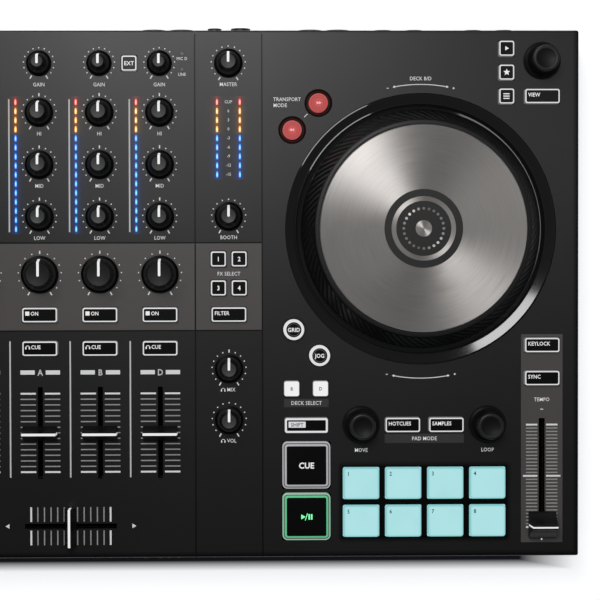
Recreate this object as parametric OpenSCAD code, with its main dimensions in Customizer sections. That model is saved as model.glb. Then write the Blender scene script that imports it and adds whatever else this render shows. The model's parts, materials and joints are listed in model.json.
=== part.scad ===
// Two-deck, four-channel DJ controller.
// Millimetres. The origin is on the table under the middle of the case.
// +X is to the player's right, +Y to the rear and +Z up.

/* [Case] */
// Width of the case, left to right
case_w = 540; // [540:1:560]
// Depth of the case, front to rear
case_d = 299; // [299:1:320]
// Height of the control surface above the table
surface_z = 38; // [38:0.5:46]
// Height of the rubber feet
foot_h = 3.5; // [2:0.5:4]
// Thickness of the case walls and floor
wall = 2.5; // [2:0.1:2.8]
// Thickness of the control surface
panel_t = 2.5; // [2:0.1:2.8]
// Radius of the long top and bottom edges
edge_r = 1.2; // [1:0.1:2]
// Radius of the upright corners
corner_r = 1.6; // [1:0.1:3]

/* [Jog wheels] */
// Distance of each jog wheel from the middle of the case
deck_x = 180; // [180:1:184]
// Distance of the jog wheel's axis behind the middle of the case
jog_y = 37; // [36:0.5:40]
// Radius of the glossy ring around the jog wheel
jog_ring_r = 76.7; // [75:0.1:77.5]
// Radius of the jog wheel at its foot
jog_base_r = 67.7; // [66:0.1:68]
// Radius of the metal disc
jog_plate_r = 58; // [54:0.5:59]
// Height of the metal disc above the control surface
jog_rise = 18; // [14:0.5:22]

/* [Knobs and faders] */
// Distance between neighbouring mixer channels
channel_pitch = 34; // [34:0.1:34.5]
// Height of the mixer knobs above the control surface
knob_rise = 12; // [9:0.5:16]
// Height of the encoders above the control surface
encoder_rise = 16; // [12:0.5:18]
// Diameter of the potentiometer shafts
shaft_d = 6; // [5:0.5:6]
// Travel of the channel faders and the crossfader
fader_travel = 45; // [40:1:45]
// Travel of the tempo faders
tempo_travel = 60; // [50:1:60]

/* [Buttons and pads] */
// Height of the buttons above the control surface
button_rise = 2; // [1.5:0.1:3]
// Height of the pads above the control surface
pad_rise = 2.4; // [1.8:0.1:3]
// Travel of a button
button_travel = 0.8; // [0.3:0.1:0.8]
// Travel of a pad
pad_travel = 1.2; // [0.5:0.1:1.2]
// Gap between a moving piece and its opening
gap = 0.35; // [0.3:0.05:0.5]

/* [Hidden] */
channels = ["c", "a", "b", "d"];
knob_rows = ["gain", "high", "mid", "low", "effect"];
sides = ["left", "right"];
encoder_names = ["browse", "move", "loop"];
master_names = ["master_knob", "booth_knob", "cue_mix_knob", "cue_volume_knob"];

$fn = 48;
slit = 0.05;  // seating gap between pieces that are fixed together
cut = 1;      // how far a cutter passes the face that it cuts

// Heights
under_z = surface_z - panel_t;
seam_z = surface_z - 10;
floor_z = foot_h + wall;
board_z = surface_z - 15;
board_t = 1.6;
board_top = board_z + board_t;
switch_h = 3.4;
flange_z = under_z - 2.2;
flange_t = 1.8;
socket_z = floor_z + 9;

// Mixer columns and rows
mixer_x = -19;
channel_x = [for (i = [0 : 3]) mixer_x + (i - 1.5) * channel_pitch];
master_x = 71;
eq_pitch = 29.5;
row_y = [131, 44.3 + 2 * eq_pitch, 44.3 + eq_pitch, 44.3, 11.7];
row_base_r = [7.2, 8.15, 8.15, 8.15, 10.7];
row_top_r = [3.2, 4, 4, 4, 6.8];
master_y = [131, 44.4, -42, -71.1];
on_y = -11.3;
cue_y = -30.3;
fader_y = -78.2;
crossfader_pos = [mixer_x, -131.3];
effect_select_y = [20.2, 3.8];
effect_select_dx = 5.9;
external_pos = [15, 130.8];

// Deck columns and rows, measured from the middle of the deck
tempo_dx = 69;
tempo_y = -103.8;
tempo_rest_y = tempo_y - 27.5;
browse_dx = 48.7;
encoder_pos = [[tempo_dx, 132.2], [-34, -74.2], [38, -74.2]];
transport = [-65.2, -97.1, -126.4];
transport_size = [27.2, 26.6];
round_button_r = 5.9;
round_button_orbit = 92;
round_button_angles = [129.1, 142.4, 218.3, 231.3];
round_recess_r = 8;
round_recess_t = 1.3;
small_cap = [20, 8.5];
square_cap = [8.9, 8.9];
cap_r = 1.2;

// [position on the deck, size] of each rectangular deck button
deck_caps = [
    [[-73.5, -53.5], square_cap], [[-57.1, -53.5], square_cap],
    [[transport[0], -74.4], [24.8, 8.8]],
    [[-10.4, -74.3], small_cap], [[14.4, -74.3], small_cap],
    [[tempo_dx, -29.1], small_cap], [[tempo_dx, -47.9], small_cap],
    [[tempo_dx, 112.1], small_cap],
    for (i = [0 : 2]) [[browse_dx, 112.1 + i * 13.5], square_cap]
];
round_caps = [
    for (a = round_button_angles) [cos(a), sin(a)] * round_button_orbit + [0, jog_y]
];
// [position, size] of each mixer button
mixer_caps = [
    for (x = channel_x) [[x, on_y], small_cap],
    for (x = channel_x) [[x, cue_y], small_cap],
    for (y = effect_select_y, s = [-1, 1])
        [[master_x + s * effect_select_dx, y], square_cap],
    [[master_x, on_y], small_cap],
    [external_pos, square_cap]
];
pad_size = [20.2, 17.8];
pad_places = [for (x = [-34, -10, 14, 38], y = [-107.6, -129.1]) [x, y]];

// Slots, potentiometers and meters
stem = [1.2, 4.5];
fader_slot = [2.8, fader_travel + 7];
tempo_slot = [3.4, tempo_travel + 6];
slot_pot_w = 9;
bush_r = 3.6;
jog_shaft_r = 5;
shaft_r = shaft_d / 2;
shaft_hole_r = shaft_r + 1.2;
shaft_foot_z = board_top + 2.7;
encoder_flange_r = 10.3;
encoder_recess_r = 10.75;
recess_t = 0.8;
led = [1.5, 3.4];
led_pitch = 5.12;
meter_dx = -13.3;
meter_top_y = 109.2;
channel_leds = 15;
master_leds = 9;
meters = [
    for (x = channel_x) [x + meter_dx, channel_leds],
    for (s = [-1, 1]) [master_x + s * 6.45, master_leds]
];
dot_places = [[44.8, 136.5], [44.8, 127.6]];
dot_r = 0.9;

// Screws and posts
mixer_half_w = 90;
post_r = 4.5;
screw_r = 1.5;
screw_head_r = 2.8;
screw_seat_t = 1.4;  // depth of the recess for a screw's head
rim_x = case_w / 2 - 7.5;
rim_y = case_d / 2 - 8.5;
post_columns = [-rim_x, -mixer_half_w, mixer_half_w, rim_x];
post_places = concat(
    [for (x = post_columns, y = [-rim_y, 0, rim_y]) [x, y]],
    [[mixer_x, rim_y], [52, -rim_y]]
);
seams_x = [-mixer_half_w, 52, mixer_half_w];
seams_y = [29.4, -20.4];
seam_w = 0.8;
seam_depth = 0.5;

// Sockets on the rear wall, from the player's left, and on the front wall
jack_r = 3.2;
small_jack_r = 1.8;
jack_depth = 15;
small_jack_depth = 13;
phono_depth = 10;
inlet_depth = 12;
socket_rim_r = 5.6;
small_rim_r = 4;
phono_rim_r = 7.2;
proud = 3.5;      // how far the front sockets and the microphone jack stand out
low_proud = 2.4;  // how far the other rear sockets stand out
power_x = -236;
usb_x = -212;
usb_size = [12, 11];
usb_hole = [8.5, 7.8];
usb_tongue = [5.6, 3.2];
usb_depth = 9;
phono_x = [28, 44, 118, 134];
mic_x = 78;
output_x = [160, 178, 212, 230];
earth_x = 63;
earth_r = 2;
phones_x = 26.8;
small_phones_x = 38.6;
socket_depth = 16;
socket_foot = 7.2;  // from a socket's axis down to its board
rear_jack_boards = [[20, 84], [110, 238], [-244, -204]];
front_jack_board = [20, 46];
jack_board_d = 15;
foot_inset = [32, 30];
foot_r = 10;
rear_wall_y = case_d / 2;

// ---- Shapes shared by several sub-parts ----

function deck_point(side, p) = [side * (deck_x + p.x), p.y];

module round_rect(size, r) {
    square([size.x - 2 * r, size.y], center = true);
    square([size.x, size.y - 2 * r], center = true);
    for (sx = [-1, 1], sy = [-1, 1])
        translate([sx * (size.x / 2 - r), sy * (size.y / 2 - r)]) circle(r);
}

// Side view of a slab from z0 to z1 with round top corners
module soft_top_profile(w, z0, z1) {
    translate([-w / 2, z0]) square([w, z1 - z0 - edge_r]);
    translate([edge_r - w / 2, z0]) square([w - 2 * edge_r, z1 - z0]);
    for (s = [-1, 1]) translate([s * (w / 2 - edge_r), z1 - edge_r]) circle(edge_r);
}

// Case-sized slab from z0 to z1 whose long top edges are round
module soft_slab(w, d, z0, z1) {
    intersection() {
        rotate([90, 0, 0]) linear_extrude(d + 2 * cut, center = true)
            soft_top_profile(w, z0, z1);
        rotate([90, 0, 90]) linear_extrude(w + 2 * cut, center = true)
            soft_top_profile(d, z0, z1);
        translate([0, 0, z0 - cut]) linear_extrude(z1 - z0 + 2 * cut)
            round_rect([w, d], corner_r);
    }
}

// Cylinder of radius r between two heights
module post(r, z0, z1) {
    translate([0, 0, z0]) cylinder(r = r, h = z1 - z0);
}

// Cylinder along Y, of radius r, between two distances y0 and y1
module along_y(r, y0, y1) {
    translate([0, y0, 0]) rotate([-90, 0, 0]) cylinder(r = r, h = y1 - y0);
}

module at_each(places) {
    for (p = places) translate([p.x, p.y, 0]) children();
}

// ---- Case ----

module socket_openings() {
    for (x = phono_x) translate([x, 0, socket_z]) along_y(phono_rim_r + slit, 0, case_d);
    for (x = concat(output_x, [mic_x, power_x])) translate([x, 0, socket_z])
        along_y(socket_rim_r + slit, 0, case_d);
    translate([earth_x, 0, socket_z]) along_y(earth_r + slit, 0, case_d);
    translate([usb_x, rear_wall_y, socket_z])
        cube([usb_size.x + 2 * slit, 4 * wall, usb_size.y + 2 * slit], center = true);
    translate([phones_x, 0, socket_z]) along_y(socket_rim_r + slit, -case_d, 0);
    translate([small_phones_x, 0, socket_z]) along_y(small_rim_r + slit, -case_d, 0);
}

// The wall's ring above the base plate
module case_wall() {
    difference() {
        mirror([0, 0, 1]) soft_slab(case_w, case_d, -seam_z, -foot_h);
        translate([0, 0, floor_z - cut]) linear_extrude(surface_z)
            round_rect([case_w - 2 * wall, case_d - 2 * wall], corner_r / 2);
        translate([0, 0, floor_z + slit - surface_z]) linear_extrude(surface_z)
            square([case_w + 2 * cut, case_d + 2 * cut], center = true);
    }
}

// Base plate, front and rear walls across the whole width, side walls between them, and
// the posts that the screws pass through
module bottom_case() {
    end_y = case_d / 2 - wall;
    color("#1c1c1e") {
        difference() {
            intersection() {
                mirror([0, 0, 1]) soft_slab(case_w, case_d, -seam_z, -foot_h);
                linear_extrude(floor_z) square([case_w + cut, case_d + cut], center = true);
            }
            at_each(post_places) {
                post(screw_r + 0.2, 0, surface_z);
                post(screw_head_r + 0.4, 0, foot_h + screw_seat_t);
            }
        }
        for (s = [-1, 1]) {
            difference() {
                intersection() {
                    case_wall();
                    translate([0, s * (end_y + case_d / 2), surface_z / 2])
                        cube([case_w + cut, case_d, surface_z], center = true);
                }
                socket_openings();
            }
            intersection() {
                case_wall();
                translate([s * case_w / 2, 0, surface_z / 2])
                    cube([case_w / 2, 2 * (end_y - slit), surface_z], center = true);
            }
        }
        at_each(post_places) difference() {
            post(post_r, floor_z + slit, board_z - slit);
            post(screw_r + 0.2, 0, surface_z);
        }
    }
}

module cap_opening(size) {
    round_rect(size + [2, 2] * gap, cap_r);
}

module led_openings() {
    for (m = meters, i = [0 : m[1] - 1])
        translate([m[0], meter_top_y - i * led_pitch]) square(led + [0.2, 0.2], center = true);
    at_each(dot_places) circle(dot_r + 0.1);
}

module mixer_openings() {
    for (x = channel_x) {
        for (y = row_y) translate([x, y]) circle(shaft_hole_r);
        translate([x, fader_y]) square(fader_slot, center = true);
    }
    for (y = master_y) translate([master_x, y]) circle(shaft_hole_r);
    translate(crossfader_pos) square([fader_slot.y, fader_slot.x], center = true);
    for (cap = mixer_caps) translate(cap[0]) cap_opening(cap[1]);
    led_openings();
}

module deck_openings(side) {
    for (cap = deck_caps) translate(deck_point(side, cap[0])) cap_opening(cap[1]);
    for (p = pad_places) translate(deck_point(side, p)) cap_opening(pad_size);
    for (i = [1, 2]) translate(deck_point(side, [transport[0], transport[i]]))
        cap_opening(transport_size);
    for (p = round_caps) translate(deck_point(side, p)) circle(round_button_r + gap);
    for (p = encoder_pos) translate(deck_point(side, p)) circle(shaft_hole_r);
    translate(deck_point(side, [tempo_dx, tempo_y])) square(tempo_slot, center = true);
    translate(deck_point(side, [0, jog_y])) circle(jog_ring_r + gap, $fn = 96);
}

module panel_recesses() {
    for (side = [-1, 1]) {
        for (p = encoder_pos) translate(deck_point(side, p))
            post(encoder_recess_r, surface_z - recess_t, surface_z + cut);
        for (p = round_caps) translate(concat(deck_point(side, p), surface_z - round_recess_t))
            cylinder(h = round_recess_t + slit, r1 = round_button_r + 0.7, r2 = round_recess_r);
    }
}

module panel_seams() {
    seam_h = seam_depth + cut;
    seam_mid = surface_z + (cut - seam_depth) / 2;
    for (x = seams_x) translate([x, 0, seam_mid])
        cube([seam_w, case_d + 2 * cut, seam_h], center = true);
    for (y = seams_y) translate([0, y, seam_mid])
        cube([2 * mixer_half_w, seam_w, seam_h], center = true);
}

module top_panel() {
    color("#2b2b2d") difference() {
        union() {
            difference() {
                soft_slab(case_w, case_d, seam_z + slit, surface_z);
                translate([0, 0, seam_z - cut]) linear_extrude(under_z - seam_z + cut)
                    round_rect([case_w - 2 * wall, case_d - 2 * wall], corner_r / 2);
                translate([0, 0, under_z - cut]) linear_extrude(panel_t + 2 * cut) {
                    mixer_openings();
                    for (side = [-1, 1]) deck_openings(side);
                }
                panel_recesses();
                panel_seams();
            }
            at_each(post_places) post(post_r - 1, board_z, under_z + slit);
        }
        at_each(post_places) post(screw_r, board_z - cut, under_z - 2);
    }
}

module case_screws() {
    color("#8d8f92") at_each(post_places) difference() {
        union() {
            post(screw_r - 0.03, foot_h + 1, under_z - 3);
            post(screw_head_r, foot_h + 0.3, foot_h + screw_seat_t - 0.1);
        }
        for (a = [0, 90]) translate([0, 0, foot_h + 0.3]) rotate([0, 0, a])
            cube([3.4, 0.7, 1.2], center = true);
    }
}

module rubber_feet() {
    foot_x = case_w / 2 - foot_inset.x;
    foot_y = case_d / 2 - foot_inset.y;
    color("#101010") for (x = [-foot_x, 0, foot_x], y = [-foot_y, foot_y])
        translate([x, y, 0]) rotate_extrude() polygon([
            [0, 0], [foot_r - 0.8, 0], [foot_r, 0.8], [foot_r, foot_h], [0, foot_h]
        ]);
}

// ---- Sockets ----

// Round socket along +Y, standing `out` proud of a wall whose outer face is at y = 0
module round_socket(rim_r, hole_r, depth, out) {
    difference() {
        union() {
            along_y(rim_r, -slit - wall, out);
            along_y(rim_r - 0.1, -socket_depth, -wall);
            translate([0.1 - rim_r, -socket_depth, -socket_foot])
                cube([2 * rim_r - 0.2, socket_depth - wall - slit, socket_foot + 5.5]);
        }
        along_y(hole_r, out - depth, out + cut);
    }
}

module phono_socket() {
    round_socket(phono_rim_r, 6, phono_depth, low_proud);
    difference() {
        along_y(4.15, low_proud - phono_depth - slit, low_proud);
        along_y(1.6, low_proud - phono_depth, low_proud + cut);
    }
}

module power_inlet() {
    round_socket(socket_rim_r, jack_r, inlet_depth, low_proud);
    along_y(1, low_proud - inlet_depth - slit, low_proud - 2);
}

module usb_socket() {
    difference() {
        translate([-usb_size.x, -2 * socket_depth, -usb_size.y] / 2)
            cube([usb_size.x, socket_depth + 1, usb_size.y]);
        translate([-usb_hole.x / 2, 1 - usb_depth, -usb_hole.y / 2])
            cube([usb_hole.x, usb_depth + cut, usb_hole.y]);
    }
    translate([-usb_size.x / 2, -socket_depth, -socket_foot])
        cube([usb_size.x, socket_depth - wall - 1, socket_foot]);
    translate([-usb_tongue.x / 2, 1 - usb_depth - slit, -usb_tongue.y / 2])
        cube([usb_tongue.x, usb_depth - 1, usb_tongue.y]);
}

module earth_terminal() {
    along_y(earth_r, -wall - 4, 0.5);
    along_y(2 * earth_r, -wall - 3, -wall - slit);
    along_y(2 * earth_r, slit, proud);
}

module sockets() {
    color("#b9bbbe") translate([0, rear_wall_y, socket_z]) {
        translate([mic_x, 0, 0]) round_socket(socket_rim_r, jack_r, jack_depth, proud);
        for (x = output_x) translate([x, 0, 0])
            round_socket(socket_rim_r, jack_r, jack_depth, low_proud);
        for (x = phono_x) translate([x, 0, 0]) phono_socket();
        translate([power_x, 0, 0]) power_inlet();
        translate([usb_x, 0, 0]) usb_socket();
        translate([earth_x, 0, 0]) earth_terminal();
    }
    color("#b9bbbe") translate([0, -rear_wall_y, socket_z]) mirror([0, 1, 0]) {
        translate([phones_x, 0, 0]) round_socket(socket_rim_r, jack_r, jack_depth, proud);
        translate([small_phones_x, 0, 0])
            round_socket(small_rim_r, small_jack_r, small_jack_depth, proud);
    }
}

// ---- Electronics ----

module board(x0, x1, y0, y1, z) {
    translate([x0, y0, z]) cube([x1 - x0, y1 - y0, board_t]);
}

module push_switch() {
    translate([0, 0, board_top + (switch_h - 0.8) / 2])
        cube([6, 6, switch_h - 0.8], center = true);
    post(1.7, board_top, board_top + switch_h);
}

module circuit_boards() {
    inner_y = case_d / 2 - wall - 1.5;
    jack_board_z = socket_z - socket_foot - slit - board_t;
    post_room = post_r + 1;
    color("#14532d") {
        board(mixer_half_w + post_room, rim_x - post_room, -inner_y, inner_y, board_z);
        board(post_room - rim_x, -mixer_half_w - post_room, -inner_y, inner_y, board_z);
        difference() {
            board(post_room - mixer_half_w, mixer_half_w - post_room, -inner_y, inner_y,
                board_z);
            at_each(post_places) post(post_room, board_z - cut, board_top + cut);
        }
        for (x = rear_jack_boards)
            board(x[0], x[1], inner_y - jack_board_d, inner_y, jack_board_z);
        board(front_jack_board[0], front_jack_board[1], -inner_y, jack_board_d - inner_y,
            jack_board_z);
        for (side = [-1, 1]) {
            for (cap = deck_caps) translate(deck_point(side, cap[0])) push_switch();
            for (p = concat(round_caps, pad_places)) translate(deck_point(side, p)) push_switch();
            for (i = [1, 2]) translate(deck_point(side, [transport[0], transport[i]]))
                push_switch();
        }
        for (cap = mixer_caps) translate(cap[0]) push_switch();
    }
}

// Slide potentiometer along Y with a slot for the stem
module slide_pot(travel) {
    top_z = under_z - 2;
    difference() {
        translate([0, 0, (board_top + top_z) / 2])
            cube([slot_pot_w, travel + 18, top_z - board_top], center = true);
        translate([0, 0, board_top + 4.3]) cube([6, travel + 7, 5.6], center = true);
        translate([0, 0, top_z]) cube([2.2, travel + 7, 6], center = true);
    }
}

module slide_pots() {
    color("#9a9da1") {
        for (x = channel_x) translate([x, fader_y]) slide_pot(fader_travel);
        translate(crossfader_pos) rotate([0, 0, 90]) slide_pot(fader_travel);
        for (side = [-1, 1]) translate(deck_point(side, [tempo_dx, tempo_y]))
            slide_pot(tempo_travel);
    }
}

module rotary_pot(body) {
    difference() {
        union() {
            translate([-body / 2, -body / 2, board_top]) cube([body, body, 7]);
            post(bush_r, board_top + 6, under_z - 0.6);
        }
        post(shaft_r + 0.05, board_top + 2.4, surface_z);
    }
}

module rotary_pots() {
    color("#7d8084") {
        for (x = channel_x, y = row_y) translate([x, y]) rotary_pot(11);
        for (y = master_y) translate([master_x, y]) rotary_pot(11);
        for (side = [-1, 1], p = encoder_pos) translate(deck_point(side, p)) rotary_pot(12);
    }
}

// Light guide with one tooth per light
module meter_lens(count) {
    bar_l = (count - 1) * led_pitch + 4;
    translate([-2.4, meter_top_y - (count - 1) * led_pitch - 2, under_z - 2.4])
        cube([4.8, bar_l, 2.3]);
    for (i = [0 : count - 1])
        translate([0, meter_top_y - i * led_pitch, (surface_z + under_z) / 2 - 0.6])
            cube([led.x, led.y, panel_t + 1.1], center = true);
}

module meter_lenses() {
    color("#9ec8ff") {
        for (m = meters) translate([m[0], 0, 0]) meter_lens(m[1]);
        at_each(dot_places) {
            post(dot_r, under_z - 1, surface_z - slit);
            post(dot_r + 1, under_z - 2, under_z - 0.1);
        }
    }
}

// ---- Jog wheels ----

// Glossy ring, bowl and centre bush, turned around the jog axis
module jog_tray() {
    ring_inner = jog_base_r + 2.7;
    hub_hole_r = jog_shaft_r + 0.05;
    hub_r = 9;
    rotate_extrude($fn = 96) polygon([
        [hub_hole_r, board_top + 1.6], [hub_r, board_top + 1.6], [hub_r, under_z - 6.5],
        [ring_inner + 2, under_z - 6.5], [ring_inner + 2, under_z - 2.6],
        [jog_ring_r + 2.1, under_z - 2.6], [jog_ring_r + 2.1, under_z - 0.1],
        [jog_ring_r, under_z - 0.1], [jog_ring_r, surface_z - 0.25],
        [jog_ring_r - 0.6, surface_z], [ring_inner + 1, surface_z - 2.3],
        [ring_inner + 0.6, surface_z - 2.12], [ring_inner, surface_z - 2.2],
        [ring_inner, under_z - 4.5],
        [hub_r, under_z - 4.5], [hub_r, under_z + 0.1], [hub_hole_r, under_z + 0.1]
    ]);
}

module jog_trays() {
    color("#0a0a0b") for (side = [-1, 1])
        translate(deck_point(side, [0, jog_y])) jog_tray();
}

module jog_platter(side) {
    plate_z = surface_z + jog_rise - 1.6;
    skirt_z = surface_z - 3.5;
    color("#161617") translate(deck_point(side, [0, jog_y])) {
        rotate_extrude($fn = 96) polygon([
            [0, plate_z - 3], [jog_plate_r - 1.5, plate_z - 3],
            [jog_base_r - 4, skirt_z + 2], [jog_base_r - 4, skirt_z],
            [jog_base_r, skirt_z], [jog_base_r, skirt_z + 6],
            [jog_plate_r + 3, plate_z - 1.5], [jog_plate_r + 2.6, plate_z + 0.9],
            [jog_plate_r + 1.3, plate_z + 1.1], [jog_plate_r + 0.1, plate_z + 1.1],
            [jog_plate_r + 0.1, plate_z - slit], [0, plate_z - slit]
        ]);
        post(8, under_z + 0.5, plate_z - 2);
        post(jog_shaft_r, board_top + 2.4, under_z + 1);
        for (a = [0 : 60 : 300]) rotate([0, 0, a])
            translate([7, -1, plate_z - 10]) cube([jog_plate_r - 9, 2, 8]);
    }
}

module jog_plate(side) {
    plate_z = surface_z + jog_rise - 1.6;
    color("#a9a5a2") translate(deck_point(side, [0, jog_y])) rotate_extrude($fn = 96)
        polygon([
            [0, plate_z], [jog_plate_r, plate_z], [jog_plate_r, plate_z + 1.3],
            [jog_plate_r - 0.3, plate_z + 1.6], [0, plate_z + 1.6]
        ]);
}

// ---- Knobs, encoders and faders ----

// Knob with a conical side, a flat top and a raised pointer towards +Y
module knob(base_r, top_r) {
    base_z = surface_z + 0.6;
    top_z = surface_z + knob_rise;
    rotate_extrude() polygon([
        [0, base_z], [base_r, base_z], [base_r, base_z + 1.2],
        [top_r + 0.5, top_z - 1.2], [top_r, top_z - 0.4], [0, top_z - 0.4]
    ]);
    translate([-0.5, 0.6, top_z - 1.4]) cube([1, top_r - 0.7, 1.4]);
    post(shaft_r, shaft_foot_z, base_z + 0.5);
}

module channel_knob(row, channel) {
    color("#232325") translate([channel_x[channel], row_y[row]])
        knob(row_base_r[row], row_top_r[row]);
}

module master_knob(i) {
    color("#232325") translate([master_x, master_y[i]]) knob(row_base_r[1], row_top_r[1]);
}

module encoder(side, i) {
    base_z = surface_z - recess_t + gap;
    top_z = surface_z + encoder_rise;
    color("#1a1a1b") translate(deck_point(side, encoder_pos[i])) {
        rotate_extrude() polygon([
            [0, base_z], [encoder_flange_r, base_z], [encoder_flange_r, surface_z + 0.6],
            [8.6, surface_z + 1.4], [7.6, top_z - 0.8], [6.8, top_z], [0, top_z - 0.6]
        ]);
        post(shaft_r, shaft_foot_z, base_z + 0.5);
    }
}

// Fader cap whose grip runs along X, with the stem that goes down through the slot.
// size is [length of the grip, depth of the foot]; ridge is the depth of the grip's top.
module fader(size, ridge, rise) {
    foot_z = surface_z + 2;
    top_z = surface_z + rise;
    rotate([90, 0, 90]) linear_extrude(size.x, center = true) polygon([
        [-size.y / 2, foot_z], [size.y / 2, foot_z], [size.y / 2, foot_z + 1.6],
        [ridge / 2 + 0.6, top_z - 4], [ridge / 2, top_z], [-ridge / 2, top_z],
        [-ridge / 2 - 0.6, top_z - 4], [-size.y / 2, foot_z + 1.6]
    ]);
    translate([0, 0, (foot_z + 1 + shaft_foot_z) / 2])
        cube([stem.x, stem.y, foot_z + 1 - shaft_foot_z], center = true);
}

module channel_fader(channel) {
    color("#1d1d1f") translate([channel_x[channel], fader_y]) fader([19.6, 8.2], 1.6, 12.5);
}

module crossfader() {
    color("#1d1d1f") translate(crossfader_pos) rotate([0, 0, 90])
        fader([21.7, 6.8], 1.6, 12.5);
}

module tempo_fader(side) {
    color("#1d1d1f") translate(deck_point(side, [tempo_dx, tempo_rest_y]))
        fader([15.8, 15], 3, 15.5);
}

// ---- Buttons and pads ----

// The flange and the stem that a button or pad has under the control surface
module button_stem(travel) {
    post(2, board_top + switch_h + travel + 0.2, flange_z + 0.1);
}

// Rectangular button: a cap with a stepped top edge over a hidden flange
module rect_button(size, rise, travel) {
    top_z = surface_z + rise;
    translate([0, 0, flange_z]) linear_extrude(flange_t) round_rect(size + [1.6, 1.6], cap_r);
    translate([0, 0, flange_z]) linear_extrude(top_z - flange_z - 0.5)
        round_rect(size, cap_r);
    translate([0, 0, top_z - 0.6]) linear_extrude(0.6) round_rect(size - [1, 1], cap_r / 2);
    button_stem(travel);
}

module round_button() {
    top_z = surface_z + button_rise;
    post(round_button_r + 0.8, flange_z, flange_z + flange_t);
    rotate_extrude() polygon([
        [0, flange_z], [round_button_r, flange_z], [round_button_r, top_z - 0.6],
        [round_button_r - 0.6, top_z], [0, top_z]
    ]);
    button_stem(button_travel);
}

module pads(side) {
    color("#a9e3e3") for (p = pad_places) translate(deck_point(side, p))
        rect_button(pad_size, pad_rise, pad_travel);
}

module transport_button(side, i) {
    color("#d9dadd") translate(deck_point(side, [transport[0], transport[i]]))
        rect_button(transport_size, button_rise, button_travel);
}

module deck_buttons(side) {
    color("#d9dadd") {
        for (cap = deck_caps) translate(deck_point(side, cap[0]))
            rect_button(cap[1], button_rise, button_travel);
        for (p = round_caps) translate(deck_point(side, p)) round_button();
    }
}

module mixer_buttons() {
    color("#d9dadd") for (cap = mixer_caps) translate(cap[0])
        rect_button(cap[1], button_rise, button_travel);
}

// ---- Assembly ----

bottom_case();
top_panel();
jog_trays();
rubber_feet();
case_screws();
circuit_boards();
slide_pots();
rotary_pots();
meter_lenses();
sockets();
for (row = [0 : 4], i = [0 : 3])
    channel_knob(row, i);
for (i = [0 : 3]) {
    master_knob(i);
    channel_fader(i);
}
crossfader();
for (i = [0, 1]) {
    side = 2 * i - 1;
    jog_platter(side);
    jog_plate(side);
    tempo_fader(side);
    pads(side);
    transport_button(side, 1);
    transport_button(side, 2);
    deck_buttons(side);
    for (k = [0 : 2])
        encoder(side, k);
}
mixer_buttons();
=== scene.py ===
import json
import math

import bmesh
import bpy
from mathutils import Matrix, Vector


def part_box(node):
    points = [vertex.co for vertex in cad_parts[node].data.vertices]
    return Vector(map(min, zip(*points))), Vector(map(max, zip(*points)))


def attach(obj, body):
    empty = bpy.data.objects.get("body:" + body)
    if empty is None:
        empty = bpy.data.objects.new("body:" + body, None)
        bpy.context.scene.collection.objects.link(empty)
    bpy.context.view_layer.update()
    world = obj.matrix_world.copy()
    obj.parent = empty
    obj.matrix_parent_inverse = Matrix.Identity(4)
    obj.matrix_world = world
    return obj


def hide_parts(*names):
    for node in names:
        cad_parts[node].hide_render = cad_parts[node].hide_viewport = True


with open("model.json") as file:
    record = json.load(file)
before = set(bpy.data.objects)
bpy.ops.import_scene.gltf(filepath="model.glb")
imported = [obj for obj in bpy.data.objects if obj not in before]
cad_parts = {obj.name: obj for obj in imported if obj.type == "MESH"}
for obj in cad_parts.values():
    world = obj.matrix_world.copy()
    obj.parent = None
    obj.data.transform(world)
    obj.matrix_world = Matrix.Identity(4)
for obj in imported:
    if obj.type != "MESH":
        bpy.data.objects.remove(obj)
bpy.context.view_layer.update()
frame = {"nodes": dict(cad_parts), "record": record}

MM = 0.001
SIDES = (("left", -1), ("right", 1))
CHANNELS = ("c", "a", "b", "d")
ROWS = ("gain", "high", "mid", "low", "effect")


# ---- Places taken from the frame ----

def centre(node):
    low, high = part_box(node)
    return (low + high) / 2


def size(node):
    low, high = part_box(node)
    return high - low


PANEL_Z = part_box("top_panel")[1].z
CASE = size("top_panel")
CHANNEL_X = [centre(f"gain_knob_{c}").x for c in CHANNELS]
ROW_Y = {row: centre(f"{row}_knob_a").y for row in ROWS}
MASTER_X = centre("master_knob").x
FADER_Y = centre("channel_fader_a").y
CROSS = centre("crossfader")
DECK_X = centre("right_jog_plate").x
JOG_Y = centre("right_jog_plate").y
TEMPO = centre("right_tempo_fader")
MIXER_EDGE = DECK_X / 2
SEAM_Y = (29.4 * MM, -20.4 * MM)
STRIP_Y = (-141.7 * MM, -23 * MM)
STRIP_HALF = 11.85 * MM
PRINT_T = 0.06 * MM
FLANGE_LIP = 0.8 * MM


def islands(node):
    """Boxes (low, high) of a CAD node's separate solids."""
    bm = bmesh.new()
    bm.from_mesh(frame["nodes"][node].data)
    bmesh.ops.remove_doubles(bm, verts=bm.verts, dist=1e-6)
    left, boxes = set(bm.verts), []
    while left:
        queue = [left.pop()]
        points = []
        while queue:
            v = queue.pop()
            points.append(v.co.copy())
            for e in v.link_edges:
                w = e.other_vert(v)
                if w in left:
                    left.remove(w)
                    queue.append(w)
        low = Vector(min(p[i] for p in points) for i in range(3))
        high = Vector(max(p[i] for p in points) for i in range(3))
        boxes.append((low, high))
    bm.free()
    return boxes


def caps(node, mirror=1):
    """(middle, visible size) of each cap in a node, rear to front, then outward from the mixer's side."""
    found = []
    for low, high in islands(node):
        mid = (low + high) / 2
        found.append((mid, high - low - Vector((2, 2, 0)) * FLANGE_LIP))
    return sorted(found, key=lambda c: (-round(c[0].y / (2 * MM)), c[0].x * mirror))


# ---- Materials ----

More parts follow.
